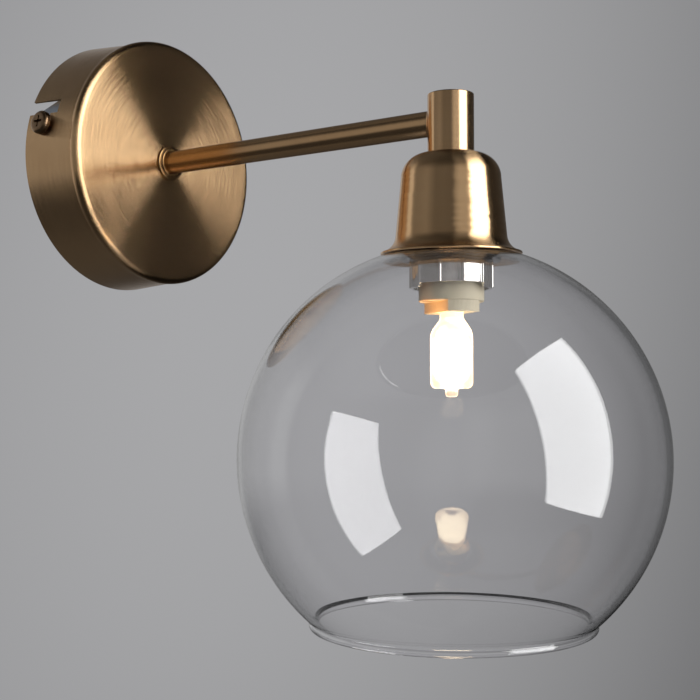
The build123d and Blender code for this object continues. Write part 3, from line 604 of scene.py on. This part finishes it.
canopyBrass = brushedFan("canopyBrass", wallCentre, wallSet, pressed)
armBrass = brushedPlain("armBrass", wallCentre, wallSet, drawnTube)
# the collar gets the darkened brass: painted shade
collarBrassPaintedShade = brushedPlain("collarBrassPaintedShade", wallCentre, wallSet, rougherPaintedShade)
# the post, its cap and the braze get the darkened brass: painted shade
postBrassPaintedShade = brushedPlain("postBrassPaintedShade", postCentre, postSet, drawnBarPaintedShade)
bellBrass = brushedPlain("bellBrass", postCentre, postSet, spun)
glass = clearGlass("clearGlass", glassLook)
litBulb = litGlass("litBulb", bulbLook, bulbHigh[2], bulbLow[2])
bulbCore = litCore("bulbCore", bulbLook)
print("finishes made")

canopyLook = {
    "wall": 0.9 * mm,
    "rollRadius": 2.7 * mm,
    "rollProud": 0.55 * mm,
    "frontRadius": 50.6 * mm,
    "holeRadius": 4.3 * mm,
    "screwAt": 168.0,  # degrees from +X towards +Z
    "mouthAt": 159.7,
    "mouthWidth": 6.0 * mm,
    "mouthDepth": 15.0 * mm,
    "legLow": 6.7 * mm,
    "legHigh": 11.3 * mm,
    "step": 2.0,  # degrees round
    "firstStep": 0.37,  # keeps the steps clear of the slots' edges
    "edge": 0.12 * mm,
}


def canopyOutline(look, inset):
    # A straight side from the back rim leans in to where the roll starts, an arc rolls over to the front, and a level
    # face runs in to the centre hole. The inside is the same outline, inset by the wall.
    side = look["frontRadius"] - look["rollProud"]
    rollAt = look["frontRadius"] - look["rollRadius"]
    rollHeight = canopyDepth - look["rollRadius"]
    joinHeight = rollHeight - sqrt(look["rollRadius"] ** 2 - (side - rollAt) ** 2)
    bend = look["rollRadius"] - inset
    start = -np.degrees(np.arccos(np.clip((side - inset - rollAt) / bend, -1, 1)))
    heights = np.array([0.0, look["legLow"], look["legHigh"], look["mouthDepth"]])
    roll = arc((rollAt, rollHeight), bend, start, 90, 14)
    share = np.append(heights, roll[0, 1]) / joinHeight
    radii = canopyRadius + (side - canopyRadius) * np.minimum(share, 1) - inset
    sideRun = np.stack([radii, np.append(heights, roll[0, 1])], 1)
    faceRadii = np.linspace(rollAt, look["holeRadius"], 20)[1:]
    face = np.stack([faceRadii, np.full_like(faceRadii, canopyDepth - inset)], 1)
    return np.vstack([sideRun[:-1], roll, face])


def canopyPiece(look):
    # The outline turned round, less the cells whose middle lies in a bayonet slot: its mouth opens at the wall, and
    # its leg runs from there to the side screw's seat.
    outer, inner = canopyOutline(look, 0.0), canopyOutline(look, look["wall"])
    halfMouth = np.degrees(look["mouthWidth"] / 2 / canopyRadius)
    seatEnd = look["screwAt"] + np.degrees((look["legHigh"] - look["legLow"]) / 2 / canopyRadius)
    marks = [look["mouthAt"] - halfMouth, look["mouthAt"] + halfMouth, seatEnd]
    marks = np.array(marks + [mark + 180 for mark in marks]) % 360
    steps = np.arange(0, 360, look["step"]) + look["firstStep"]
    angles = np.unique(np.round(np.concatenate([steps, marks]), 6))
    middle = (angles + np.roll(angles, -1)) / 2
    middle[-1] = (angles[-1] + angles[0] + 360) / 2
    fromMouth = (middle[:, None] - look["mouthAt"] + 90) % 180 - 90  # both slots at once
    height = (outer[:-1, 1] + outer[1:, 1])[None, :] / 2
    mouth = (np.abs(fromMouth) < halfMouth) & (height < look["mouthDepth"])
    seatTurn = seatEnd - look["mouthAt"]
    leg = (fromMouth > 0) & (fromMouth < seatTurn) & (height > look["legLow"]) & (height < look["legHigh"])
    points, faces = sheet(outer, inner, np.radians(angles), ~(mouth | leg), wallCentre, wallSet)
    return meshPiece("canopyPiece", points, faces, "lamp", ("canopy",), "antique_brass", 28)


def sheet(outer, inner, angles, kept, centre, axes):
    # sheet metal with openings: outside and inside grids share one mask of cells, and every edge where the mask
    # ends gets a wall between them
    rows, columns = len(angles), len(outer)
    t = angles[:, None]
    outside = onAxis(outer[None, :, 0], t, outer[None, :, 1], centre, axes).reshape(-1, 3)
    inside = onAxis(inner[None, :, 0], t, inner[None, :, 1], centre, axes).reshape(-1, 3)
    shift = rows * columns
    i, j = np.nonzero(kept)
    nextI = (i + 1) % rows
    cells = np.stack([i * columns + j, nextI * columns + j, nextI * columns + j + 1, i * columns + j + 1], 1)
    faces = [cells, cells[:, ::-1] + shift]
    padded = np.pad(kept, ((0, 0), (1, 1)))
    # each side of a cell: where no neighbour is kept, and its two corners
    sides = [
        (~np.roll(kept, 1, 0)[i, j], 0, 3),
        (~np.roll(kept, -1, 0)[i, j], 2, 1),
        (~padded[i, j], 1, 0),
        (~padded[i, j + 2], 3, 2),
    ]
    for free, a, b in sides:
        edge = cells[free]
        faces.append(np.stack([edge[:, a], edge[:, b], edge[:, b] + shift, edge[:, a] + shift], 1))
    return np.vstack([outside, inside]), np.vstack(faces)


paintPiece(bevelled(canopyPiece(canopyLook), canopyLook["edge"], 60), canopyBrass)

collarLook = {
    "outer": 7.3 * mm,
    "step": 6.1 * mm,
    "bore": 4.63 * mm,
    "height": 1.3 * mm,
    "stepHeight": 0.9 * mm,
    "outerEdge": 0.7 * mm,
    "stepEdge": 0.5 * mm,
    "fineEdge": 0.15 * mm,
}


def collarPiece(look):
    # a stepped outline with rounded edges, turned round the arm
    base = canopyDepth
    middle = base + look["height"]
    top = middle + look["stepHeight"]
    outline = rounded([
        (look["bore"], base, 0),
        (look["outer"], base, 0),
        (look["outer"], middle, look["outerEdge"]),
        (look["step"], middle, look["fineEdge"]),
        (look["step"], top, look["stepEdge"]),
        (look["bore"], top, look["fineEdge"]),
    ])
    return turned("armCollarPiece", outline, wallCentre, wallSet, "lamp", ("arm_collar",), "antique_brass", 96)


paintPiece(collarPiece(collarLook), collarBrassPaintedShade)
print("canopy made")

armLook = {"wall": 1.1 * mm, "intoPost": 1.2 * mm, "braze": 0.8 * mm, "brazeDepth": 0.3 * mm}


def armPiece(look):
    # a plain tube: an oblong outline turned, from the canopy's face into the post's side
    end = -postCentre[1] - postRadius + look["intoPost"]
    bore = armRadius - look["wall"]
    outline = np.array([(bore, canopyDepth), (armRadius, canopyDepth), (armRadius, end), (bore, end)])
    return turned("armPiece", outline, wallCentre, wallSet, "lamp", ("arm_tube",), "antique_brass", 96)


def brazePiece(look):
    # A fillet round the arm's end: for each angle t about the arm it is a curve from the arm to the post, bent
    # towards the line where the two cylinders meet, and its root is closed inside them.
    steps, strips = 96, 9
    t = np.linspace(0, 2 * pi, steps, endpoint=False)[:, None]
    s = np.linspace(0, 1, strips)[None, :]

    def meeting(radius):
        # distance from the wall at which a circle of that radius about the arm meets the post
        across = radius * np.cos(t)
        return -postCentre[1] - np.sqrt(postRadius**2 - across**2)

    def bent(start, towards, end):
        # (1 - s) squared of the start, 2 s (1 - s) of the bend and s squared of the end
        return (1 - s) ** 2 * start + 2 * s * (1 - s) * towards + s**2 * end

    onArm, onPost = meeting(armRadius) - look["braze"], meeting(armRadius + look["braze"])
    radius = bent(armRadius, armRadius, armRadius + look["braze"])
    core = np.full_like(t, armRadius - look["brazeDepth"])
    radius = np.hstack([core, np.broadcast_to(radius, (steps, strips)), core])
    height = bent(onArm, meeting(armRadius), onPost)
    height = np.hstack([onArm, height, meeting(armRadius) + look["brazeDepth"]])
    points = onAxis(radius, t, height, wallCentre, wallSet)
    faces = quads(steps, strips + 2, True, True)
    return meshPiece("armBraze", points, faces, "lamp", (), "antique_brass", 40)


postLook = {"edge": 0.35 * mm, "capGap": 0.03 * mm, "boreEdge": 0.12 * mm, "capEdge": 0.15 * mm}


def postPieces(look):
    # a bored bar with its cap: the joint between them shows as a fine round line on top
    capRadius = (capHigh[0] - capLow[0]) / 2
    bore = capRadius + look["capGap"]
    bottom, top, floor = postLow[2], postHigh[2], capLow[2]
    bar = rounded([
        (0, bottom, 0),
        (postRadius, bottom, 0),
        (postRadius, top, look["edge"]),
        (bore, top, look["boreEdge"]),
        (bore, floor, 0),
        (0, floor, 0),
    ])
    cap = rounded([(0, floor, 0), (capRadius, floor, 0), (capRadius, top, look["capEdge"]), (0, top, 0)])
    return (
        turned("postPiece", bar, postCentre, postSet, "lamp", ("post",), "antique_brass", 128, False),
        turned("postCapPiece", cap, postCentre, postSet, "lamp", ("post_cap",), "antique_brass", 96, False),
    )


paintPiece(armPiece(armLook), armBrass)
paintPiece(brazePiece(armLook), postBrassPaintedShade)
for piece in postPieces(postLook):
    paintPiece(piece, postBrassPaintedShade)

bellLook = {
    "wall": 0.8 * mm,
    "holeRadius": 5.3 * mm,
    "shoulderRadius": 8.6 * mm,
    "topRadius": 17.63 * mm,
    "waistRadius": 19.6 * mm,
    "rimRadius": 24.6 * mm,
    "flareHeight": 5.6 * mm,
    "rimBulge": 0.9,  # 1 makes the rim a true half round
}


def bellOutline(look, inset):
    # Down from the hole: shoulder arc, leaning side, and a flare arc that touches the side. The flare's radius is
    # half its chord over the sine of half its turn.
    top = bellHigh[2] - inset
    shoulder = look["shoulderRadius"] - inset
    shoulderAt = (look["topRadius"] - look["shoulderRadius"], bellHigh[2] - look["shoulderRadius"])
    rim = bellLow[2] + look["wall"]
    waist = (look["waistRadius"], rim + look["flareHeight"])
    lean = atan2(waist[0] - look["topRadius"], shoulderAt[1] - waist[1])
    run = (look["rimRadius"] - look["waistRadius"], -look["flareHeight"])
    halfTurn = atan2(run[0], -run[1]) - lean
    flare = hypot(*run) / 2 / sin(halfTurn)
    flareAt = (waist[0] + flare * cos(lean), waist[1] + flare * sin(lean))
    start = np.degrees(pi + lean)
    return np.vstack([
        [(look["holeRadius"], top)],
        arc(shoulderAt, shoulder, 90, 0, 16),
        arc(flareAt, flare + inset, start, start + 2 * np.degrees(halfTurn), 14),
    ])


def bellPiece(look):
    outside, inside = bellOutline(look, 0.0), bellOutline(look, look["wall"])
    # the rim is middle + half width * cos t + bulge * sin t, with the bulge square to the half width
    a, b = outside[-1], inside[-1]
    middle, half = (a + b) / 2, (a - b) / 2
    t = np.linspace(0, pi, 9)[1:-1, None]
    rim = middle + half * np.cos(t) + look["rimBulge"] * np.array([-half[1], half[0]]) * -np.sin(t)
    outline = np.vstack([outside, rim, inside[::-1]])[::-1]
    return turned("bellPiece", outline, postCentre, postSet, "lamp", ("bell_cup",), "antique_brass", 192)


paintPiece(bellPiece(bellLook), bellBrass)
print("arm, post and bell made")

ringLook = {
    "bore": 13.28 * mm,
    "wall": 1.15 * mm,
    "ribs": 11,
    "ribHeight": 0.45 * mm,
    "ribWidth": 4.6,  # this and the next three in degrees round
    "firstRib": -1.1,
    "landArc": 80.0,
    "gapAt": 33.0,
    "landDrop": 1.2 * mm,
    "landSlope": 0.35,
    "edge": 0.25 * mm,
    "steps": 704,
}


def ringPiece(look):
    # The outside swells at each rib by rib height / (1 + the sixth power of the degrees from the rib over half its
    # width). The lower edge hangs down over two side lands, with a step 1 / (1 + e to the power of minus the degrees
    # past the land's end over the slope).
    t = np.linspace(0, 2 * pi, look["steps"], endpoint=False)[:, None]
    degreesRound = np.degrees(t)
    pitch = 360 / look["ribs"]
    fromRib = (degreesRound - look["firstRib"] + pitch / 2) % pitch - pitch / 2
    hump = 1 / (1 + (np.abs(fromRib) / (look["ribWidth"] / 2)) ** 6)
    fromGap = (degreesRound - look["gapAt"] + 90) % 180 - 90
    land = 1 / (1 + np.exp(-(np.abs(fromGap) - (90 - look["landArc"] / 2)) / look["landSlope"]))
    bottom, top = ringLow[2] + look["landDrop"] * (1 - land), ringHigh[2]
    outer = look["bore"] + look["wall"] + look["ribHeight"] * hump
    edge = look["edge"]
    corner = edge * 0.3
    outline = [
        (look["bore"], bottom),
        (outer - edge, bottom),
        (outer - corner, bottom + corner),
        (outer, bottom + edge),
        (outer, top - edge),
        (outer - corner, top - corner),
        (outer - edge, top),
        (look["bore"], top),
    ]
    radius, height = (np.hstack([np.broadcast_to(point[k], t.shape) for point in outline]) for k in (0, 1))
    points = onAxis(radius, t, height, postCentre, postSet)
    faces = quads(look["steps"], len(outline), True, True)
    return meshPiece("lockRingPiece", points, faces, "ring", ("lock_ring",), "chrome", 50)


paintPiece(ringPiece(ringLook), chrome)

washerLook = {"bore": 13.6 * mm, "edge": 0.3 * mm}


def washerPiece(look):
    # a flat ring with its outer edges rounded
    outer, bore, edge = (washerHigh[0] - washerLow[0]) / 2, look["bore"], look["edge"]
    low, high = washerLow[2], washerHigh[2]
    outline = rounded([(bore, low, 0), (outer, low, edge), (outer, high, edge), (bore, high, 0)])
    return turned("shadeWasherPiece", outline, postCentre, postSet, "shade", ("shade_washer",), "pale_washer", 128)


paintPiece(washerPiece(washerLook), clearSilicone)

globeLook = {
    "wall": 2.0 * mm,
    "hole": 14.25 * mm,
    "neck": 49.6 * mm,  # radius at the crease over the lip
    "lip": 1.35 * mm,
    "lipOut": 0.5 * mm,  # how far the lip stands out beyond the crease
}


def globePiece(look):
    # one closed outline: outer sphere from the hole down to the crease, round lip, inner sphere up again
    inner = globeRadius - look["wall"]
    innerNeck = look["neck"] - look["wall"]
    middle = globeHigh[2] - sqrt(globeRadius**2 - look["hole"] ** 2)
    lipAt = look["neck"] + look["lipOut"] - look["lip"]
    startTurn = np.arccos((look["neck"] - lipAt) / look["lip"])
    endTurn = np.arccos((innerNeck - lipAt) / look["lip"])
    crease = middle - sqrt(globeRadius**2 - look["neck"] ** 2)
    lipHeight = crease - look["lip"] * sin(startTurn)

    def sphere(radius, fromR, toR):
        start = np.degrees(np.arccos(fromR / radius))
        end = -np.degrees(np.arccos(toR / radius))
        return arc((0, middle), radius, start, end, 150)

    outline = np.vstack([
        sphere(globeRadius, look["hole"], look["neck"]),
        arc((lipAt, lipHeight), look["lip"], np.degrees(startTurn), np.degrees(endTurn) - 360, 20),
        sphere(inner, look["hole"], innerNeck)[::-1],
    ])[::-1]
    return turned("globePiece", outline, postCentre, postSet, "shade", ("glass_globe",), "clear_glass", 256)


paintPiece(globePiece(globeLook), glass)
print("ring, washer and globe made")

capsuleLook = {  # heights count from the arm's axis
    "turn": 58.5,  # degrees, the way the pinch lies
    "radius": 7.5 * mm,
    "pinch": (6.25 * mm, 2.2 * mm),  # half its width and half its thickness
    "pinchTop": -62.5 * mm,
    "shoulderTop": -69.3 * mm,
    "shoulderBottom": -76.5 * mm,
    "bottom": -94.3 * mm,
    "footRadius": 2.2 * mm,
    "tipRadius": 2.2 * mm,
    "tipFlare": 0.5 * mm,
    "tipFlareHeight": 0.6 * mm,
    "tipFoot": 1.1 * mm,
    "tipBottom": -97.2 * mm,
    "pinchPower": 5.0,  # 2 is round, more is squarer
    "blendPower": 0.8,
    "steps": 96,
    "coreRadius": 5.3 * mm,
    "coreHalf": 9.2 * mm,
    "coreRise": 2.0 * mm,
    "corePower": 3.0,
}


def superellipse(t, power):
    # cosine and sine of t, each raised to 2 / power with its sign kept
    c, s = np.cos(t), np.sin(t)
    return np.sign(c) * np.abs(c) ** (2 / power), np.sign(s) * np.abs(s) ** (2 / power)


def capsulePiece(look):
    # Level slices: superellipses whose half widths and power pass smoothly from the flat pinch to the round body,
    # then close over a rounded foot and the little tip.
    def ease(x):
        # 3 x squared less 2 x cubed, which starts and ends level
        x = np.clip(x, 0, 1)
        return x * x * (3 - 2 * x)

    pinchRun = np.linspace(look["pinchTop"], look["shoulderTop"], 8)
    shoulderRun = np.linspace(look["shoulderTop"], look["shoulderBottom"], 22)[1:]
    wall = np.linspace(look["shoulderBottom"], look["bottom"] + look["footRadius"], 8)[1:-1]
    footRadius, tipFoot, tipRadius = look["footRadius"], look["tipFoot"], look["tipRadius"]
    foot = arc((look["radius"] - footRadius, look["bottom"] + footRadius), footRadius, 0, -84, 10)
    flare = np.array([
        (tipRadius + look["tipFlare"], look["bottom"]),
        (tipRadius, look["bottom"] - look["tipFlareHeight"]),
    ])
    tip = arc((tipRadius - tipFoot, look["tipBottom"] + tipFoot), tipFoot, 0, -90, 8)
    z = np.concatenate([pinchRun, shoulderRun, wall, foot[:, 1], flare[:, 1], tip[:, 1]])
    straight = np.full(len(pinchRun) + len(shoulderRun) + len(wall), look["radius"])
    body = np.concatenate([straight, foot[:, 0], flare[:, 0], tip[:, 0]])
    blend = ease((look["shoulderTop"] - z) / (look["shoulderTop"] - look["shoulderBottom"])) ** look["blendPower"]
    wide, thin = (half + (body - half) * blend for half in look["pinch"])
    t = np.linspace(0, 2 * pi, look["steps"], endpoint=False)[:, None]
    across, along = superellipse(t, look["pinchPower"] + (2.0 - look["pinchPower"]) * blend)
    x, y = wide * across, thin * along
    turn = radians(look["turn"])
    points = np.stack([
        x * cos(turn) - y * sin(turn) + postCentre[0],
        x * sin(turn) + y * cos(turn) + postCentre[1],
        np.broadcast_to(z, x.shape),
    ], -1)
    top, bottom = points[:, :1].mean(0, keepdims=True), points[:, -1:].mean(0, keepdims=True)
    grid = np.concatenate([np.repeat(top, look["steps"], 0), points, np.repeat(bottom, look["steps"], 0)], 1)
    faces = quads(look["steps"], grid.shape[1], True, False)
    return meshPiece("bulbPiece", grid, faces, "bulb", ("bulb_envelope",), "frosted_glass", 40)


def corePiece(look):
    # half a superellipse turned round: a long glow about the filament
    across, along = superellipse(np.linspace(-pi / 2, pi / 2, 49), look["corePower"])
    middle = (look["shoulderBottom"] + look["bottom"]) / 2 + look["coreRise"]
    outline = np.stack([look["coreRadius"] * across, middle + look["coreHalf"] * along], 1)
    outline[[0, -1], 0] = 0
    return turned("bulbGlowPiece", outline, postCentre, postSet, "bulb", ("bulb_filament",), "filament_wire", 48, False)


paintPiece(capsulePiece(capsuleLook), litBulb)
paintPiece(corePiece(capsuleLook), bulbCore)
print("capsule lamp made")

# the rest keeps its CAD shape, with joined faces and soft edges where it shows
dressedNodes = {
    "canopy_screws": (0.15 * mm, screwBrass, "bright_brass"),
    "wall_bracket": (0.15 * mm, zinc, "zinc_steel"),
    "earth_screw": (0.1 * mm, zinc, "zinc_steel"),
    "lampholder_body": (0.25 * mm, ceramic, "cream_ceramic"),
    "holder_sleeve": (0.1 * mm, chrome, "chrome"),
    "terminal_block": (0.15 * mm, blockPlastic, "block_plastic"),
    "arm_nut": (0.1 * mm, zinc, "zinc_steel"),
    "backing_plate": (0.1 * mm, zinc, "zinc_steel"),
    "lead_live": (0, brownSleeve, "brown_insulation"),
    "lead_neutral": (0, blueSleeve, "blue_insulation"),
    "lead_earth": (0, greenYellowSleeve, "green_yellow_insulation"),
    "bulb_pins": (0, nickel, "contact_nickel"),
}
for node, (width, material, slotName) in dressedNodes.items():
    paintPiece(merged(node, width, slotName), material)

keptNodes = {
    "earth_washer": nickel, "arm_nipple": zinc, "earth_terminal": nickel, "arm_lock_washer": zinc,
    "nipple_bush": blockPlastic, "post_nipple": zinc, "bell_washer": zinc, "bell_nut": zinc,
    "sleeve_grub_screw": brightBrass, "lampholder_screws": zinc, "lampholder_contacts": nickel,
    "terminal_clamps": brightBrass, "terminal_screws": zinc, "block_screws": zinc,
}
for node, material in keptNodes.items():
    paintPiece(frame["nodes"][node], material)
print("fittings dressed")

studio = {
    "aim": (0.0, -0.167, -0.118),
    "boxToward": (0.089, -0.963, 0.245),
    "boxDistance": 1.0,
    "boxSize": (0.74, 1.36),
    "boxTurn": 13.0,  # degrees by which its right side comes nearer
    "boxGloss": 5.1,  # brightness of the softbox as metal and glass show it
    "boxSecond": 0.12,  # share of it that is left after one reflection
    "boxSoft": 8.0,  # watts that it gives to matt surfaces
    "fillToward": (-0.75, -0.10, 0.65),
    "fillDistance": 1.2,
    "fillSize": (1.2, 1.2),
    "fillSoft": 5.0,
    "glowAt": (-0.0108, 0.0045, -0.075),
    "glowSize": 2 * mm,
    "glowWatts": 0.012,
    "glowColour": (1.0, 0.45, 0.12),
    "floorHeight": -0.62,
    "floorSolid": 0.35,
    "floorFade": 1.1,
    "floorGrain": 60.0,
    "floorTones": (colour(0.56, 0.56, 0.57), colour(0.60, 0.60, 0.61)),
}


def lightSource(name, kind, watts):
    # a light for matt surfaces only
    data = bpy.data.lights.new(name, kind)
    data.energy = watts
    light = placed(name, data)
    light.visible_camera = False
    light.visible_glossy = False
    light.visible_transmission = False
    return light


def panel(name, toward, distance, sides, watts):
    # an oblong light that looks at the lamp
    light = lightSource(name, "AREA", watts)
    light.data.shape = "RECTANGLE"
    light.data.size, light.data.size_y = sides
    away = Vector(toward).normalized()
    turn = away.to_track_quat("Z", "Y").to_matrix().to_4x4()
    light.matrix_world = Matrix.Translation(Vector(studio["aim"]) + away * distance) @ turn


def bulbGlow(look):
    # the lamp's warm light on its holder
    light = lightSource("bulbGlow", "POINT", look["glowWatts"])
    light.data.color = look["glowColour"]
    light.data.shadow_soft_size = look["glowSize"]
    light.location = postCentre + np.array(look["glowAt"])


def softbox(look):
    # The box that metal and glass show: a flat oblong, point = aim + away * distance + s * right + t * up. Metal
    # mirrored in metal shows it dimly, as if cards kept its light off the canopy's face.
    away = np.array(look["boxToward"]) / np.linalg.norm(look["boxToward"])
    right = np.cross((0, 0, 1), away)
    right /= np.linalg.norm(right)
    s, t = (np.array([-0.5, 0.5]) * side for side in look["boxSize"])
    s, t = np.meshgrid(s, t, indexing="ij")
    turn = radians(look["boxTurn"])
    middle = np.array(look["aim"]) + away * look["boxDistance"]
    across = right * cos(turn) - away * sin(turn)
    points = middle + s[..., None] * across + t[..., None] * np.cross(away, right)
    mesh = bpy.data.meshes.new("softbox")
    mesh.from_pydata(points.reshape(-1, 3).tolist(), [], quads(2, 2, False, False).tolist())
    box = placed("softbox", mesh)
    box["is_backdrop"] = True
    box.visible_camera = False
    box.visible_diffuse = False
    box.visible_shadow = False
    paint = newPaint("softboxCloth")
    mirrored = paint.path("Glossy Depth")
    again = paint.maths("GREATER_THAN", mirrored, 1.5)  # more than one reflection
    strength = look["boxGloss"] - again * (look["boxGloss"] * (1 - look["boxSecond"]))
    bright = paint.node("ShaderNodeEmission", None, {"Color": colour(1, 1, 1), "Strength": strength})
    # the box isn't seen straight through the glass, where nothing is reflected yet
    reflected = paint.maths("GREATER_THAN", mirrored + paint.path("Diffuse Depth"), 0.5)
    clear = paint.node("ShaderNodeBsdfTransparent")
    paint.finish(paint.blend(reflected, clear, bright))
    paint.owner.cycles.emission_sampling = "NONE"
    mesh.materials.append(paint.owner)


softbox(studio)
bulbGlow(studio)
panel("softboxSoft", studio["boxToward"], studio["boxDistance"], studio["boxSize"], studio["boxSoft"])
panel("fillSoft", studio["fillToward"], studio["fillDistance"], studio["fillSize"], studio["fillSoft"])

room = {  # a fade is start, end, level at the start and level at the end
    "soft": colour(0.30, 0.30, 0.31),  # what matt surfaces get from all sides
    "horizon": 0.026,  # upward part of the camera's middle ray
    "grey": 0.378,  # of the backdrop, there
    "greySlopes": (0.207, 0.07),  # it gets darker to the right and brighter upwards
    "greyBends": (1.05, 0.37, 0.32),  # darker aside, darker above and below, and unequal in the corners
    "greyTint": (0.995, 0.995, 1.02),
    "leastGrey": 0.15,
    "elsewhere": (-0.86, -0.45, 0.0, 0.21),  # fade that lifts the least grey away from the backdrop
    "elsewhereGloss": 0.25,  # share of that lift where gloss shows it
    "round": [  # what gloss sees: degrees to the right of the camera, and brightness there
        (-180, 0.25), (-160, 0.50), (-128, 0.55), (-114, 0.50), (-108, 0.75), (-100, 0.75),
        (-96, 0.22), (-60, 0.30), (-40, 0.18), (-20, 0.19), (-1, 0.17), (7, 0.50),
        (16, 0.66), (34, 0.60), (84, 0.12), (98, 0.035), (150, 0.06), (180, 0.22),
    ],
    "above": (0.35, 0.66, 1.0, 0.16),
    "below": (-0.08, -0.32, 1.0, 0.14),
}


def makeWorld(look):
    # Camera rays and rays through glass see an even grey that fades from left to right. Gloss sees a studio whose
    # brightness goes by compass angle: dark behind the camera, grey towards the backdrop.
    world = bpy.data.worlds.new("studio")
    world.cycles.sampling_method = "NONE"  # only real rays meet the world, so gloss sees its own studio
    scene.world = world
    paint = Paint(world)
    direction = paint.node("ShaderNodeTexCoord", None, None, "Generated")
    sideways = paint.vector("DOT_PRODUCT", direction, tuple(viewRight), "Value")
    toCamera = paint.vector("DOT_PRODUCT", direction, (viewBack.x, viewBack.y, 0.0), "Value")
    upward = paint.vector("DOT_PRODUCT", direction, (0, 0, 1), "Value")
    # brightest left of the middle, darker towards the corners, most at the lower right
    rise = upward - look["horizon"]
    toRight, toTop = look["greySlopes"]
    bendAside, bendUp, twist = look["greyBends"]
    grey = look["grey"] - sideways * toRight + rise * toTop
    grey = grey - sideways * sideways * bendAside - rise * rise * bendUp + sideways * rise * twist
    reflected = paint.maths("MINIMUM", paint.path("Glossy Depth"), 1.0)
    elsewhere = paint.step(toCamera, *look["elsewhere"]) * (1 - reflected * (1 - look["elsewhereGloss"]))
    grey = paint.maths("MAXIMUM", grey, elsewhere + look["leastGrey"])
    tint = paint.node("ShaderNodeCombineColor", None, {k: grey * part for k, part in enumerate(look["greyTint"])})
    backdrop = paint.node("ShaderNodeBackground", None, {"Color": tint})
    compass = paint.maths("ARCTAN2", sideways, toCamera) * (0.5 / pi) + 0.5  # 0.5 is towards the camera
    rooms = paint.ramp(compass, [(0.5 + degrees / 360, (level,) * 3) for degrees, level in look["round"]])
    share = paint.step(upward, *look["above"]) * paint.step(upward, *look["below"])
    gloss = paint.node("ShaderNodeBackground", None, {"Color": rooms, "Strength": share})
    soft = paint.node("ShaderNodeBackground", None, {"Color": look["soft"]})
    shown = paint.maths("MAXIMUM", paint.path("Is Camera Ray"), paint.path("Is Transmission Ray"))
    inner = paint.blend(paint.path("Is Glossy Ray"), soft, gloss)
    whole = paint.blend(shown, inner, backdrop)
    paint.node("ShaderNodeOutputWorld", None, {"Surface": whole})


def makeFloor(look):
    # level circles about a point well below the lamp: a pale floor that fades out into the background
    steps, rings = 96, 24
    centre = (0, look["aim"][1], look["floorHeight"])
    t = np.linspace(0, 2 * pi, steps, endpoint=False)[:, None]
    r = np.linspace(0, look["floorFade"] * 1.1, rings)[None, :]  # a little beyond where it has faded
    points = onAxis(r, t, np.zeros((1, 1)), centre, postSet)
    mesh = bpy.data.meshes.new("floor")
    mesh.from_pydata(points.reshape(-1, 3).tolist(), [], quads(steps, rings, True, False)[:, ::-1].tolist())
    floor = placed("floor", mesh)
    floor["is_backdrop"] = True
    floor.visible_glossy = False  # gloss sees the dark lower half of the studio instead
    paint = newPaint("paleFloor")
    distance = paint.vector("LENGTH", paint.vector("SUBTRACT", paint.place(), centre), out="Value")
    fade = paint.step(distance, look["floorSolid"], look["floorFade"], 0.0, 1.0)
    grain = paint.mix(paint.noise(paint.place(), look["floorGrain"], 3.0), *look["floorTones"])
    pale = paint.node("ShaderNodeBsdfDiffuse", None, {"Color": grain})
    clear = paint.node("ShaderNodeBsdfTransparent")
    paint.finish(paint.blend(fade, pale, clear))
    mesh.materials.append(paint.owner)


makeWorld(room)
makeFloor(studio)
print("studio made")


def corners(bounds):
    return [[round(float(v), 6) for v in corner] for corner in bounds]


{"cad": corners(boundsAtLoad), "visual": corners(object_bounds())}
